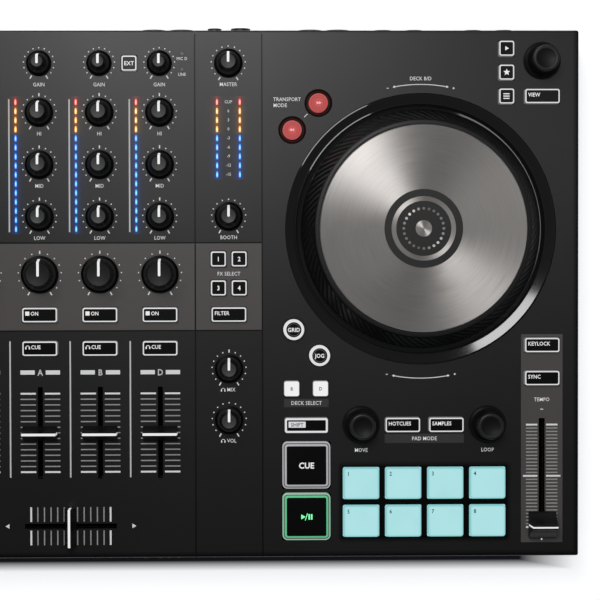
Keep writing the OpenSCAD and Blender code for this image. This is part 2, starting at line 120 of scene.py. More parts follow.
class Value:
    """A node's output that can be used in sums."""

    def __init__(self, nodes, socket):
        self.nodes, self.socket = nodes, socket

    def __add__(self, other):
        return self.nodes.math("ADD", self, other)

    def __sub__(self, other):
        return self.nodes.math("SUBTRACT", self, other)

    def __rsub__(self, other):
        return self.nodes.math("SUBTRACT", other, self)

    def __mul__(self, other):
        return self.nodes.math("MULTIPLY", self, other)

    def __truediv__(self, other):
        return self.nodes.math("DIVIDE", self, other)

    def __rpow__(self, other):
        return self.nodes.math("POWER", other, self)

    def __gt__(self, other):
        return self.nodes.math("GREATER_THAN", self, other)

    def __lt__(self, other):
        return self.nodes.math("LESS_THAN", self, other)

    def __abs__(self):
        return self.nodes.math("ABSOLUTE", self)


class Nodes:
    """Short names for building a material's node tree."""

    def __init__(self, name):
        self.material = bpy.data.materials.new(name)
        self.material.use_nodes = True
        self.tree = self.material.node_tree
        self.shader = self.tree.nodes["Principled BSDF"]

    def node(self, kind, **inputs):
        made = self.tree.nodes.new("ShaderNode" + kind)
        for key, value in inputs.items():
            numbered = key[0] == "i" and key[1:].isdigit()
            self.put(value, made.inputs[int(key[1:]) if numbered else key])
        return made

    def put(self, value, socket):
        if isinstance(value, Value):
            value = value.socket
        if isinstance(value, bpy.types.NodeSocket):
            self.tree.links.new(value, socket)
        else:
            socket.default_value = value

    def math(self, operation, *values):
        made = self.node("Math")
        made.operation = operation
        for value, socket in zip(values, made.inputs):
            self.put(value, socket)
        return Value(self, made.outputs[0])

    def inside(self, value, low, high):
        """1 where low < value < high, else 0."""
        return (value > low) * (value < high)

    def blend(self, a, share, b):
        """a times share, plus b times the rest."""
        return self.math("MULTIPLY_ADD", a, share, b * round(1 - share, 6))

    def mix(self, share, a, b):
        made = self.node("Mix")
        made.data_type = "RGBA"
        for value, socket in ((share, "Factor"), (a, 6), (b, 7)):
            self.put(value, made.inputs[socket])
        return made.outputs[2]

    def noise(self, scale, detail=3.0, vector=None):
        made = self.node("TexNoise", Scale=scale, Detail=detail)
        self.put(vector or self.place(), made.inputs["Vector"])
        return Value(self, made.outputs["Fac"])

    def place(self):
        return self.node("TexCoord").outputs["Object"]

    def xyz(self, vector=None):
        return [Value(self, s) for s in self.node("SeparateXYZ", i0=vector or self.place()).outputs]

    def spread(self, value, low, high):
        """Maps the middle of a noise's range to low to high."""
        return self.ramp(value, 0.3, 0.7, low, high)

    def ramp(self, value, start, end, low=0.0, high=1.0):
        """Maps start to end onto low to high, held beyond both."""
        made = self.node("MapRange", Value=value)
        for key, number in {"From Min": start, "From Max": end, "To Min": low, "To Max": high}.items():
            made.inputs[key].default_value = number
        return Value(self, made.outputs["Result"])

    def facing_up(self, kind="True Normal"):
        """Upward share of the surface's own direction."""
        return self.xyz(self.node("NewGeometry").outputs[kind])[2]

    def set(self, **sockets):
        for key, value in sockets.items():
            self.put(value, self.shader.inputs[key.replace("_", " ")])

    def bump(self, height, strength, distance):
        made = self.node("Bump", Height=height, Strength=strength, Distance=distance)
        self.put(made.outputs[0], self.shader.inputs["Normal"])


def rgb(r, g, b):
    return (r, g, b, 1.0)


def scaled(tone, share):
    return rgb(*[min(1.0, c * share) for c in tone])


def plastic(name, tone, rough, grain=0.12, bump=0.1, scale=900.0, specular=0.5, glow=None):
    """Moulded plastic: fine pitted grain, slight patches of tone and of gloss. glow is (colour, strength), a
    painted glow for print and pointers that have no light of their own.
    """
    m = Nodes(name)
    fine = m.noise(scale, 4.0)
    patches = m.noise(14.0, 2.0)
    m.set(Base_Color=m.mix(m.blend(fine, 0.5, patches), scaled(tone, 1 - grain), scaled(tone, 1 + grain)))
    m.set(Roughness=m.spread(patches, rough - 0.03, rough + 0.04), Specular_IOR_Level=specular)
    m.bump(fine, bump, 0.05 * MM)
    # Painted light: the glow brightens unlit paint.
    if glow:
        m.set(Emission_Color=rgb(*glow[0]), Emission_Strength=glow[1])
    return m.material


def meter_field(m, x, y):
    """Distance from the nearest light column, rows counted down from the top, whether a light's row is there,
    and the colours of its core and edge."""
    pitch = CHANNEL_X[1] - CHANNEL_X[0]
    along = (x - (CHANNEL_X[0] + METER_DX)) / pitch
    column = m.math("MINIMUM", m.math("MAXIMUM", m.math("ROUND", along), 0.0), len(CHANNELS) - 1.0)
    near = abs(along - column) * pitch
    master = abs(abs(x - MASTER_X) - MASTER_METER_DX)
    is_master = x > (CHANNEL_X[3] + MASTER_X) / 2
    off = near * (1.0 - is_master) + master * is_master
    rows = (METER_Y[1] - y) / LED_PITCH
    there = (rows > -0.6) * (rows < 14.6 - is_master * 6.0)
    first, warm = rows < 0.5, rows < 3.5
    core = m.mix(first, m.mix(warm, rgb(0.24, 0.74, 1.0), rgb(1.0, 0.80, 0.38)), rgb(1.0, 0.46, 0.38))
    edge = m.mix(first, m.mix(warm, rgb(0.01, 0.17, 0.95), rgb(0.85, 0.33, 0.03)), rgb(0.85, 0.05, 0.03))
    return off, rows, there, core, edge


def shade(m, across, y):
    """Painted shade: 1 on the open panel, less close to the pads and to the side and front edges."""
    low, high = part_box("right_pads")
    beyond = []
    for value, a, b in ((across, low.x, high.x), (y, low.y, high.y)):
        off = abs(value - (a + b) / 2) - ((b - a) / 2 - FLANGE_LIP)
        beyond.append(m.math("MAXIMUM", off, 0.0))
    pads_off = m.math("SQRT", beyond[0] * beyond[0] + beyond[1] * beyond[1])
    edge = m.math("MINIMUM", CASE.x / 2 - across, y + CASE.y / 2)
    return m.ramp(pads_off, 0.6 * MM, 3.6 * MM, 0.12) * m.ramp(edge, 0.9 * MM, 3.6 * MM, 0.22)


def panel_material():
    """Fine matt paint: lighter mixer band and tempo strips. Painted shade blackens the cut edges and darkens
    the recesses and the panel near the pads and the side and front edges. A painted glow lies beside the
    lights.
    """
    m = Nodes("panel_paint")
    x, y, z = m.xyz()
    across = abs(x)
    top = z > PANEL_Z - 0.05 * MM
    inland = (across < CASE.x / 2 - 2 * MM) * (abs(y) < CASE.y / 2 - 2 * MM)
    cut = inland * (m.facing_up() < 0.3) * (1.0 - top)
    band = m.inside(y, SEAM_Y[1], SEAM_Y[0]) * (across < MIXER_EDGE)
    strip = m.inside(y, *STRIP_Y) * (abs(across - TEMPO.x) < STRIP_HALF)
    fine = m.noise(1600.0, 3.0)
    patches = m.noise(9.0, 3.0)
    grain = m.blend(fine, 0.6, patches)
    base = m.mix(grain, rgb(0.0036, 0.0034, 0.0035), rgb(0.0056, 0.0053, 0.0054))
    light = m.mix(grain, rgb(0.104, 0.093, 0.089), rgb(0.124, 0.112, 0.107))
    share = top * m.math("MAXIMUM", band, strip)
    # Painted shade: the cut walls go black and the recesses below the top are darkened by 55 per cent.
    cut_and_recess_unshaded = 1.0 - m.math("MAXIMUM", cut, inland * (1.0 - top) * 0.55)
    unshaded_share = shade(m, across, y) * cut_and_recess_unshaded
    m.set(Base_Color=m.mix(unshaded_share, rgb(0.0008, 0.0008, 0.0009), m.mix(share, base, light)))
    # Painted shade also lowers the specular where it darkens the paint.
    m.set(Specular_IOR_Level=m.math("MULTIPLY_ADD", unshaded_share, 0.44, 0.06))
    m.set(Roughness=m.spread(patches, 0.32, 0.37) + cut * 0.4)
    # Painted glow: the panel beside the meter lights glows in their edge colour, fading with distance from
    # them.
    off, _, there, _, edge = meter_field(m, x, y)
    fade = 2.718 ** (off / (-1.3 * MM))
    m.set(Emission_Color=edge, Emission_Strength=fade * there * (top * HALO))
    m.bump(fine, 0.12, 0.04 * MM)
    return m.material


def metal(name, tone, rough):
    """Plated or machined metal with faint smears."""
    m = Nodes(name)
    fine = m.noise(700.0, 4.0)
    m.set(Base_Color=m.mix(fine, scaled(tone, 0.85), rgb(*tone)))
    m.set(Roughness=m.spread(m.noise(60.0), rough - 0.05, rough + 0.08), Metallic=1.0)
    m.bump(fine, 0.05, 0.02 * MM)
    return m.material


def brushed_disc(name, middle):
    """Aluminium turned in fine circles round its middle."""
    m = Nodes(name)
    off = m.node("VectorMath", i0=m.place(), i1=(middle.x, middle.y, 0.0))
    off.operation = "SUBTRACT"
    x, y, _ = m.xyz(off.outputs[0])
    radius = m.math("SQRT", x * x + y * y)
    angle = m.math("ARCTAN2", y, x)

    def circles(across, along, detail):
        """Noise drawn out round the middle."""
        return m.noise(1.0, detail, m.node("CombineXYZ", X=radius * across, Y=angle * along).outputs[0])

    streaks, tone = circles(1700.0, 2.0, 5.0), circles(90.0, 1.2, 2.0)
    m.set(Base_Color=m.mix(m.blend(streaks, 0.7, tone), rgb(0.305, 0.287, 0.275), rgb(0.515, 0.492, 0.475)))
    m.set(Roughness=m.spread(streaks, 0.28, 0.35), Metallic=1.0, Anisotropic=0.84, Anisotropic_Rotation=0.25)
    tangent = m.node("Tangent")
    tangent.direction_type, tangent.axis = "RADIAL", "Z"
    m.set(Tangent=tangent.outputs[0])
    m.bump(streaks, 0.02, 0.02 * MM)
    return m.material


def lit(name, tone, glow, strength, patch=0.10, rough=0.35):
    """Translucent plastic lit from behind, a little uneven."""
    m = Nodes(name)
    uneven = m.noise(90.0, 2.0)
    m.set(Base_Color=m.mix(uneven, scaled(tone, 0.9), rgb(*tone)))
    m.set(Emission_Color=m.mix(uneven, scaled(glow, 1 - patch), rgb(*glow)))
    m.set(Emission_Strength=strength, Roughness=rough)
    return m.material


def pad_material():
    """Silicone lit pale cyan, a little darker down its sides."""
    m = Nodes("pad_silicone")
    flat = m.math("POWER", m.math("MAXIMUM", m.facing_up("Normal"), 0.0), 6.0)
    uneven = m.noise(70.0, 1.0)
    face = m.mix(uneven, rgb(0.33, 0.66, 0.68), rgb(0.39, 0.70, 0.72))
    m.set(Base_Color=m.mix(uneven, rgb(0.10, 0.13, 0.13), rgb(0.12, 0.15, 0.15)))
    m.set(Emission_Color=m.mix(flat, rgb(0.20, 0.52, 0.54), face), Emission_Strength=1.0)
    m.set(Roughness=m.spread(uneven, 0.5, 0.6))
    m.bump(m.noise(1200.0), 0.05, 0.03 * MM)
    return m.material


def light_material():
    """Meter lights: red at the top, then amber, then blue, each with a pale core low in a saturated drop."""
    m = Nodes("meter_light")
    x, y, _ = m.xyz()
    off, rows, _, core, edge = meter_field(m, x, y)
    drop = (rows - m.math("ROUND", rows)) * LED_PITCH
    wide = off / (0.52 * MM)
    long = (drop - 0.3 * MM) / (1.7 * MM)
    reach = m.math("SQRT", wide * wide + long * long)
    colour = m.mix(rows < -0.8, m.mix(m.ramp(reach, 1.05, 0.45), edge, core), rgb(0.36, 0.36, 0.36))
    m.set(Base_Color=rgb(0.02, 0.02, 0.025), Roughness=0.3)
    m.set(Emission_Color=colour, Emission_Strength=m.ramp(reach, 1.12, 1.6, 1.35, 0.05))
    return m.material


def floor_material():
    """Pale table, shaded close round the case and further out in front of it."""
    m = Nodes("floor")
    x, y, _ = m.xyz()
    beside = abs(x) - CASE.x / 2
    out = m.math("MAXIMUM", beside, abs(y) - CASE.y / 2)
    front = m.ramp(y * -1.0 - CASE.y / 2, 8 * MM, 14 * MM)
    ends = m.ramp(beside, -28 * MM, 4 * MM)
    open_front = m.math("MAXIMUM", m.math("MAXIMUM", front, ends), y > 0.0)
    clear = m.math("MINIMUM", m.ramp(out, 0.5 * MM, 6 * MM, 0.12), open_front)
    tone = m.mix(m.noise(3.0), rgb(0.84, 0.845, 0.86), rgb(0.88, 0.885, 0.90))
    m.set(Base_Color=m.mix(clear, rgb(0.055, 0.055, 0.078), tone), Roughness=0.9)
    m.set(Emission_Color=tone, Emission_Strength=clear * 0.85)
    return m.material


def slide_material():
    """Plated sides under a black top plate."""
    m = Nodes("slide_pot")
    plate = m.facing_up() > 0.5
    side = m.mix(m.noise(600.0), rgb(0.34, 0.34, 0.34), rgb(0.42, 0.42, 0.41))
    m.set(Base_Color=m.mix(plate, side, rgb(0.0012, 0.0012, 0.0012)), Specular_IOR_Level=0.1)
    m.set(Metallic=1.0 - plate, Roughness=m.math("MULTIPLY_ADD", plate, 0.35, 0.45))
    return m.material


METER_Y = (37.5 * MM, 109.2 * MM)
LED_PITCH = 5.12 * MM
METER_DX = -13.3 * MM
MASTER_METER_DX = 6.45 * MM
# Strength of the painted glow on the panel beside the meter lights.
HALO = 0.20

PANEL = panel_material()
CASE_PLASTIC = plastic("case_plastic", (0.010, 0.010, 0.0105), 0.48, bump=0.25, scale=1100.0)
GLOSS = plastic("gloss_black", (0.010, 0.0095, 0.0092), 0.06, bump=0.003, scale=200.0, specular=0.8)
JOG_RUBBER = plastic("jog_rubber", (0.0040, 0.0040, 0.0043), 0.34, bump=0.06, specular=0.35)
JOG_RIM = plastic("jog_rim", (0.012, 0.0118, 0.0118), 0.40, bump=0.05, specular=0.4)
KNOB_BLACK = plastic("knob_black", (0.006, 0.006, 0.0065), 0.38, bump=0.05, specular=0.16)
KNOB_FOOT = plastic("knob_foot", (0.0012, 0.0012, 0.0014), 0.30, bump=0.03, specular=0.12)
KNOB_TOP = plastic("knob_top", (0.060, 0.060, 0.061), 0.42, bump=0.06, specular=0.35)
# Painted light: a lighter, glossier copy of the knob plastic for the light the lower flank catches.
PAINTED_LIGHT_SKIRT = plastic("knob_skirt", (0.030, 0.030, 0.031), 0.42, bump=0.05, specular=0.6)
EFFECT_TOP = plastic("effect_knob_top", (0.021, 0.021, 0.022), 0.42, bump=0.06, specular=0.2)
ENCODER_BLACK = plastic("encoder_black", (0.005, 0.005, 0.0055), 0.40, bump=0.06, specular=0.25)
ENCODER_TOP = plastic("encoder_top", (0.016, 0.016, 0.0165), 0.36, bump=0.05, specular=0.4)
FADER_BLACK = plastic("fader_black", (0.0042, 0.0042, 0.0047), 0.40, bump=0.04, specular=0.25)
# The white pointers glow as painted light.
WHITE_LINE = plastic("white_pointer", (0.86, 0.86, 0.86), 0.5, grain=0.03, glow=((0.9, 0.9, 0.9), 0.50))
CAP_TOP = plastic("cap_top_black", (0.0016, 0.0016, 0.0019), 0.28, bump=0.02, specular=0.2)
# These printed marks glow as painted light.
PRINT = plastic("print_light", (0.72, 0.72, 0.73), 0.6, grain=0.04, glow=((0.75, 0.75, 0.77), 0.34))
PRINT_DIM = plastic("print_dim", (0.30, 0.30, 0.30), 0.6, grain=0.05, glow=((0.3, 0.3, 0.3), 0.30))
PRINT_MID = plastic("print_middle", (0.55, 0.55, 0.55), 0.6, grain=0.05, glow=((0.5, 0.5, 0.5), 0.36))
PRINT_BAR = plastic("print_bar", (0.048, 0.046, 0.045), 0.55, grain=0.06)
RIM_SIDE = lit("button_side", (0.25, 0.25, 0.26), (0.16, 0.155, 0.165), 0.8, rough=0.35)
BUTTON_RIM = lit("button_rim", (0.20, 0.20, 0.20), (0.90, 0.89, 0.91), 0.78, rough=0.3)
BUTTON_TEXT = lit("button_text", (0.2, 0.2, 0.2), (0.95, 0.95, 0.95), 0.8)
BUTTON_FULL = lit("button_full", (0.2, 0.2, 0.2), (0.93, 0.93, 0.94), 0.86)
SHIFT_BOX = lit("shift_box", (0.2, 0.2, 0.2), (0.80, 0.79, 0.81), 0.8)
RIM_GREY = lit("transport_rim", (0.25, 0.25, 0.26), (0.42, 0.41, 0.43), 0.75)
RIM_DARK = lit("transport_groove", (0.10, 0.10, 0.10), (0.10, 0.10, 0.10), 0.6)
GREEN_LINE = lit("play_rim_line", (0.20, 0.30, 0.24), (0.27, 0.46, 0.34), 0.85)
GREEN_RIM = lit("play_rim", (0.15, 0.50, 0.30), (0.045, 0.36, 0.14), 0.85)
GREEN_TEXT = lit("play_text", (0.2, 0.5, 0.3), (0.18, 1.0, 0.40), 0.95)
RED_CAP = lit("mode_button_red", (0.30, 0.06, 0.06), (0.54, 0.085, 0.080), 0.80, patch=0.15, rough=0.75)
RED_RING = lit("mode_button_ring", (0.25, 0.06, 0.06), (0.36, 0.06, 0.055), 0.75, patch=0.15, rough=0.75)
RED_LIGHT = lit("mode_button_text", (0.4, 0.2, 0.2), (0.95, 0.42, 0.38), 0.85)
PAD_GLOW = pad_material()
PAD_DIGIT = plastic("pad_digit", (0.010, 0.022, 0.024), 0.6)
METER_LIGHT = light_material()
RUBBER = plastic("foot_rubber", (0.012, 0.012, 0.012), 0.75, bump=0.3)
BOARD = plastic("circuit_board", (0.006, 0.05, 0.018), 0.35, scale=500.0)
SLIDE_POT = slide_material()
STEEL = metal("screw_steel", (0.45, 0.45, 0.46), 0.35)
POT_METAL = metal("pot_metal", (0.4, 0.4, 0.4), 0.45)
SOCKET_BLACK = plastic("socket_plastic", (0.010, 0.010, 0.010), 0.4)
DISC_DARK = plastic("disc_print_dark", (0.009, 0.0082, 0.0078), 0.38, grain=0.08)


# ---- Mesh building ----

def circle(radius, count):
    turns = [i * math.tau / count for i in range(count)]
    return [(radius * math.cos(a), radius * math.sin(a)) for a in turns]


def offsets(x, y, *steps):
    """Points at the given steps, in millimetres, from (x, y)."""
    return [(x + dx * MM, y + dy * MM) for dx, dy in steps]


def rounded(width, depth, radius, count=5):
    """Outline of a rectangle with round corners, counterclockwise."""
    radius = max(0.02 * MM, min(radius, width / 2, depth / 2))
    points = []
    for k, (sx, sy) in enumerate(((1, 1), (-1, 1), (-1, -1), (1, -1))):
        cx, cy = sx * (width / 2 - radius), sy * (depth / 2 - radius)
        for i in range(count + 1):
            a = math.pi / 2 * (k + i / count)
            points.append((cx + radius * math.cos(a), cy + radius * math.sin(a)))
    return points


class Piece:
    """One object under construction, made of closed shapes that each have a material."""

    def __init__(self, name, at=(0.0, 0.0, 0.0)):
        self.name, self.at = name, Vector(at)
        self.bm, self.materials = bmesh.new(), []

    def index(self, material):
        if material not in self.materials:
            self.materials.append(material)
        return self.materials.index(material)

    def loft(self, loops, materials):
        """Closed solid through loops of points; materials has one for each band and one for the last face."""
        rings = [[self.bm.verts.new(self.at + Vector(p)) for p in loop] for loop in loops]
        count = len(rings[0])
        if not isinstance(materials, (list, tuple)):
            materials = [materials] * len(rings)
        for a, b, material in zip(rings, rings[1:], materials):
            slot = self.index(material)
            for i in range(count):
                j = (i + 1) % count
                self.bm.faces.new((a[i], a[j], b[j], b[i])).material_index = slot
        self.bm.faces.new(list(reversed(rings[0]))).material_index = self.index(materials[0])
        self.bm.faces.new(rings[-1]).material_index = self.index(materials[-1])

    def steps(self, outline, steps, materials, at=(0.0, 0.0)):
        """Solid whose outline(inset) is drawn at each step's (inset, height)."""
        self.loft([[(x + at[0], y + at[1], z) for x, y in outline(inset)] for inset, z in steps], materials)

    def prism(self, points, low, high, material):
        self.loft([[(x, y, z) for x, y in points] for z in (low, high)], material)

    def lathe(self, profile, materials, at=(0.0, 0.0), count=64, shape=None):
        """Solid turned about Z at the given point through (radius, height) steps.
        shape(angle, step) multiplies the radius."""
        loops = []
        for k, (radius, z) in enumerate(profile):
            loop = []
            for i in range(count):
                a = i * math.tau / count
                r = max(radius, 1e-6) * (shape(a, k) if shape else 1.0)
                loop.append((at[0] + r * math.cos(a), at[1] + r * math.sin(a), z))
            loops.append(loop)
        self.loft(loops, materials)

    def turned_ring(self, section, material, at=(0.0, 0.0), count=96):
        """Ring turned about Z through (radius, height) steps that go all round its section."""
        turns = [i * math.tau / count for i in range(count)]
        loops = [[self.bm.verts.new(self.at + Vector((at[0] + r * math.cos(a), at[1] + r * math.sin(a), z)))
                  for a in turns] for r, z in section]
        slot = self.index(material)
        for a, b in zip(loops, loops[1:] + loops[:1]):
            for i in range(count):
                j = (i + 1) % count
                self.bm.faces.new((a[i], a[j], b[j], b[i])).material_index = slot

    def add_mesh(self, mesh, matrix, material):
        slot = self.index(material)
        start = len(self.bm.faces)
        copy = mesh.copy()
        copy.transform(Matrix.Translation(self.at) @ matrix)
        self.bm.from_mesh(copy)
        self.bm.faces.ensure_lookup_table()
        for f in self.bm.faces[start:]:
            f.material_index = slot
        bpy.data.meshes.remove(copy)

    def make(self, body, replaces=(), sharp=32.0):
        mesh = bpy.data.meshes.new(self.name)
        bmesh.ops.recalc_face_normals(self.bm, faces=self.bm.faces)
        for f in self.bm.faces:
            f.smooth = True
        self.bm.to_mesh(mesh)
        self.bm.free()
        for material in self.materials:
            mesh.materials.append(material)
        mesh.set_sharp_from_angle(angle=math.radians(sharp))
        made = bpy.data.objects.new(self.name, mesh)
        bpy.context.scene.collection.objects.link(made)
        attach(made, body)
        if replaces:
            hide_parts(*replaces)
        return made


# ---- Printed marks: lettering, dots, dashes and arcs ----

CAP_SHARE = 0.72
_letters = {}


def letters(text, height, align, bold):
    key = (text, round(height / MM, 3), align, bold)
    if key not in _letters:
        curve = bpy.data.curves.new("letters", "FONT")
        curve.body, curve.size = text, height / CAP_SHARE
        curve.align_x, curve.align_y = align, "BOTTOM_BASELINE"
        curve.extrude, curve.offset = PRINT_T / 2, bold * height
        curve.resolution_u = 2
        curve.space_character = 1.04
        holder = bpy.data.objects.new("letters", curve)
        bpy.context.scene.collection.objects.link(holder)
        bpy.context.view_layer.update()
        graph = bpy.context.evaluated_depsgraph_get()
        _letters[key] = bpy.data.meshes.new_from_object(holder.evaluated_get(graph))
        bpy.data.objects.remove(holder)
    return _letters[key]


class Marks:
    """Prints flat marks on a surface of a piece."""

    def __init__(self, piece, z, material):
        self.piece, self.z, self.material = piece, z, material

    def fill(self, points, material=None):
        low = self.z - PRINT_T / 3
        self.piece.prism(points, low, low + PRINT_T, material or self.material)

    def dot(self, x, y, radius):
        self.fill([(x + p[0], y + p[1]) for p in circle(radius, 12)])

    def bar(self, x0, x1, y0, y1, material=None):
        self.fill([(x0, y0), (x1, y0), (x1, y1), (x0, y1)], material)

    def dash(self, x, y, angle, inner, outer, width):
        """Radial dash; the angle is clockwise from +Y."""
        along = Vector((math.sin(angle), math.cos(angle)))
        across = Vector((along.y, -along.x)) * width / 2
        a, b = Vector((x, y)) + along * inner, Vector((x, y)) + along * outer
        self.fill([tuple(p) for p in (a + across, b + across, b - across, a - across)])

    def arc(self, x, y, radius, start, end, width, count=20):
        turn = [start + (end - start) * i / count for i in range(count + 1)]
        outer, inner = ([(x + r * math.sin(a), y + r * math.cos(a)) for a in turn]
                        for r in (radius + width / 2, radius - width / 2))
        self.fill(outer + inner[::-1])

    def triangle(self, x, y, reach, angle, material=None):
        self.fill([(x + reach * math.sin(angle + t), y + reach * math.cos(angle + t))
                   for t in (0.0, math.tau / 3, -math.tau / 3)], material)

    def text(self, words, x, y, height, align="CENTER", material=None, bold=0.012, narrow=0.90):
        mesh = letters(words, height, align, bold)
        place = Matrix.Translation((x, y - height / 2, self.z + PRINT_T * 0.6))
        place = place @ Matrix.Diagonal((narrow, 1, 1, 1))
        self.piece.add_mesh(mesh, place, material or self.material)

    def headphones(self, x, y, height):
        """A band over two ear pads."""
        r, end = height * 0.42, math.radians(100)
        self.arc(x, y - 0.1 * height, r, -end, end, height * 0.14, 12)
        for s in (-1, 1):
            self.bar(x + s * r - 0.15 * height, x + s * r + 0.15 * height, y - height / 2, y - 0.02 * height)


LABEL = 2.15 * MM
SCALE_TURN = math.radians(150)
SCALE_STEPS = 7


def knob_scale(marks, x, y, base, centred):
    """Dots round a knob, with dashes at both ends and, on a centred knob, at the middle."""
    for i in range(-SCALE_STEPS, SCALE_STEPS + 1):
        angle = SCALE_TURN * i / SCALE_STEPS
        end, middle = abs(i) == SCALE_STEPS, i == 0 and centred
        if end or middle:
            marks.dash(x, y, angle, base + 0.9 * MM, base + (2.9 if end else 2.7) * MM, 0.7 * MM)
        else:
            reach = base + 1.5 * MM
            marks.dot(x + reach * math.sin(angle), y + reach * math.cos(angle), 0.38 * MM)


def fader_scale(marks, x, y, count, pitch, inner, outer, strong, vertical=True):
    """Short lines on both sides of a slot; the lines whose index is in strong are brighter and longer."""
    for i in range(count):
        along = (i - (count - 1) / 2) * pitch
        main = i in strong
        half = (0.5 if main else 0.33) * MM
        reach = outer + strong.get(i, 0.0)
        tone = PRINT if main else PRINT_DIM
        for s in (-1, 1):
            a, b = sorted((s * inner, s * reach))
            if vertical:
                marks.bar(x + a, x + b, y + along - half, y + along + half, tone)
            else:
                marks.bar(x + along - half, x + along + half, y + a, y + b, tone)


def mixer_marks():
    piece = Piece("mixer_markings")
    marks = Marks(piece, PANEL_Z, PRINT)
    label_drop = 12.0 * MM
    names = {"gain": "GAIN", "high": "HI", "mid": "MID", "low": "LOW"}
    for x, letter in zip(CHANNEL_X, "CABD"):
        for row in ROWS:
            base = size(f"{row}_knob_a").x / 2
            knob_scale(marks, x, ROW_Y[row], base, row != "gain")
            if row in names:
                marks.text(names[row], x, ROW_Y[row] - label_drop, LABEL)
        marks.text(letter, x, -43.9 * MM, 3.5 * MM, bold=0.03, material=PRINT_MID)
        for s in (-1, 1):
            a, b = sorted((s * 3.1 * MM, s * 11.2 * MM))
            marks.bar(x + a, x + b, -45.1 * MM, -42.7 * MM)
        fader_scale(marks, x, FADER_Y, 15, 3.18 * MM, 2.5 * MM, 11.2 * MM, {0: 0.0, 14: 0.0})
    for a, b in zip(CHANNEL_X, CHANNEL_X[1:]):
        x = (a + b) / 2
        marks.bar(x - 0.40 * MM, x + 0.40 * MM, 35.6 * MM, 110.7 * MM, PRINT_MID)
        marks.bar(x - 0.40 * MM, x + 0.40 * MM, -103.6 * MM, -26.2 * MM, PRINT_MID)
    fader_scale(marks, CROSS.x, CROSS.y, 13, 3.75 * MM, 2.5 * MM, 10.8 * MM, {0: 0.0, 12: 0.0},
                vertical=False)
    marks.triangle(CROSS.x + 35.6 * MM, CROSS.y, 1.5 * MM, math.pi / 2)
    marks.triangle(CROSS.x - 35.6 * MM, CROSS.y, 1.5 * MM, -math.pi / 2)
    master_marks(marks)
    return piece.make("housing")


def master_marks(marks):
    base = size("master_knob").x / 2
    for node, centred in (("master_knob", 0), ("booth_knob", 0), ("cue_mix_knob", 1), ("cue_volume_knob", 0)):
        knob_scale(marks, MASTER_X, centre(node).y, base, centred)
    drop = 11.9 * MM
    marks.text("MASTER", MASTER_X, centre("master_knob").y - drop, LABEL)
    marks.text("BOOTH", MASTER_X, centre("booth_knob").y - drop, LABEL)
    for node, word in (("cue_mix_knob", "MIX"), ("cue_volume_knob", "VOL")):
        y = centre(node).y - drop
        marks.text(word, MASTER_X - 1.2 * MM, y, LABEL, "LEFT")
        marks.headphones(MASTER_X - 3.4 * MM, y, 2.3 * MM)
    scale = ("CLIP", "6", "3", "0", "-3", "-6", "-9", "-12", "-15")
    for i, word in enumerate(scale):
        marks.text(word, MASTER_X, METER_Y[1] - i * LED_PITCH, 1.7 * MM)
    marks.text("FX SELECT", MASTER_X, 11.9 * MM, LABEL)
    for (x, y), word in zip(((44.8, 136.5), (44.8, 127.6)), ("MIC D", "LINE")):
        marks.text(word, x * MM, (y - 2.9) * MM, 1.7 * MM)


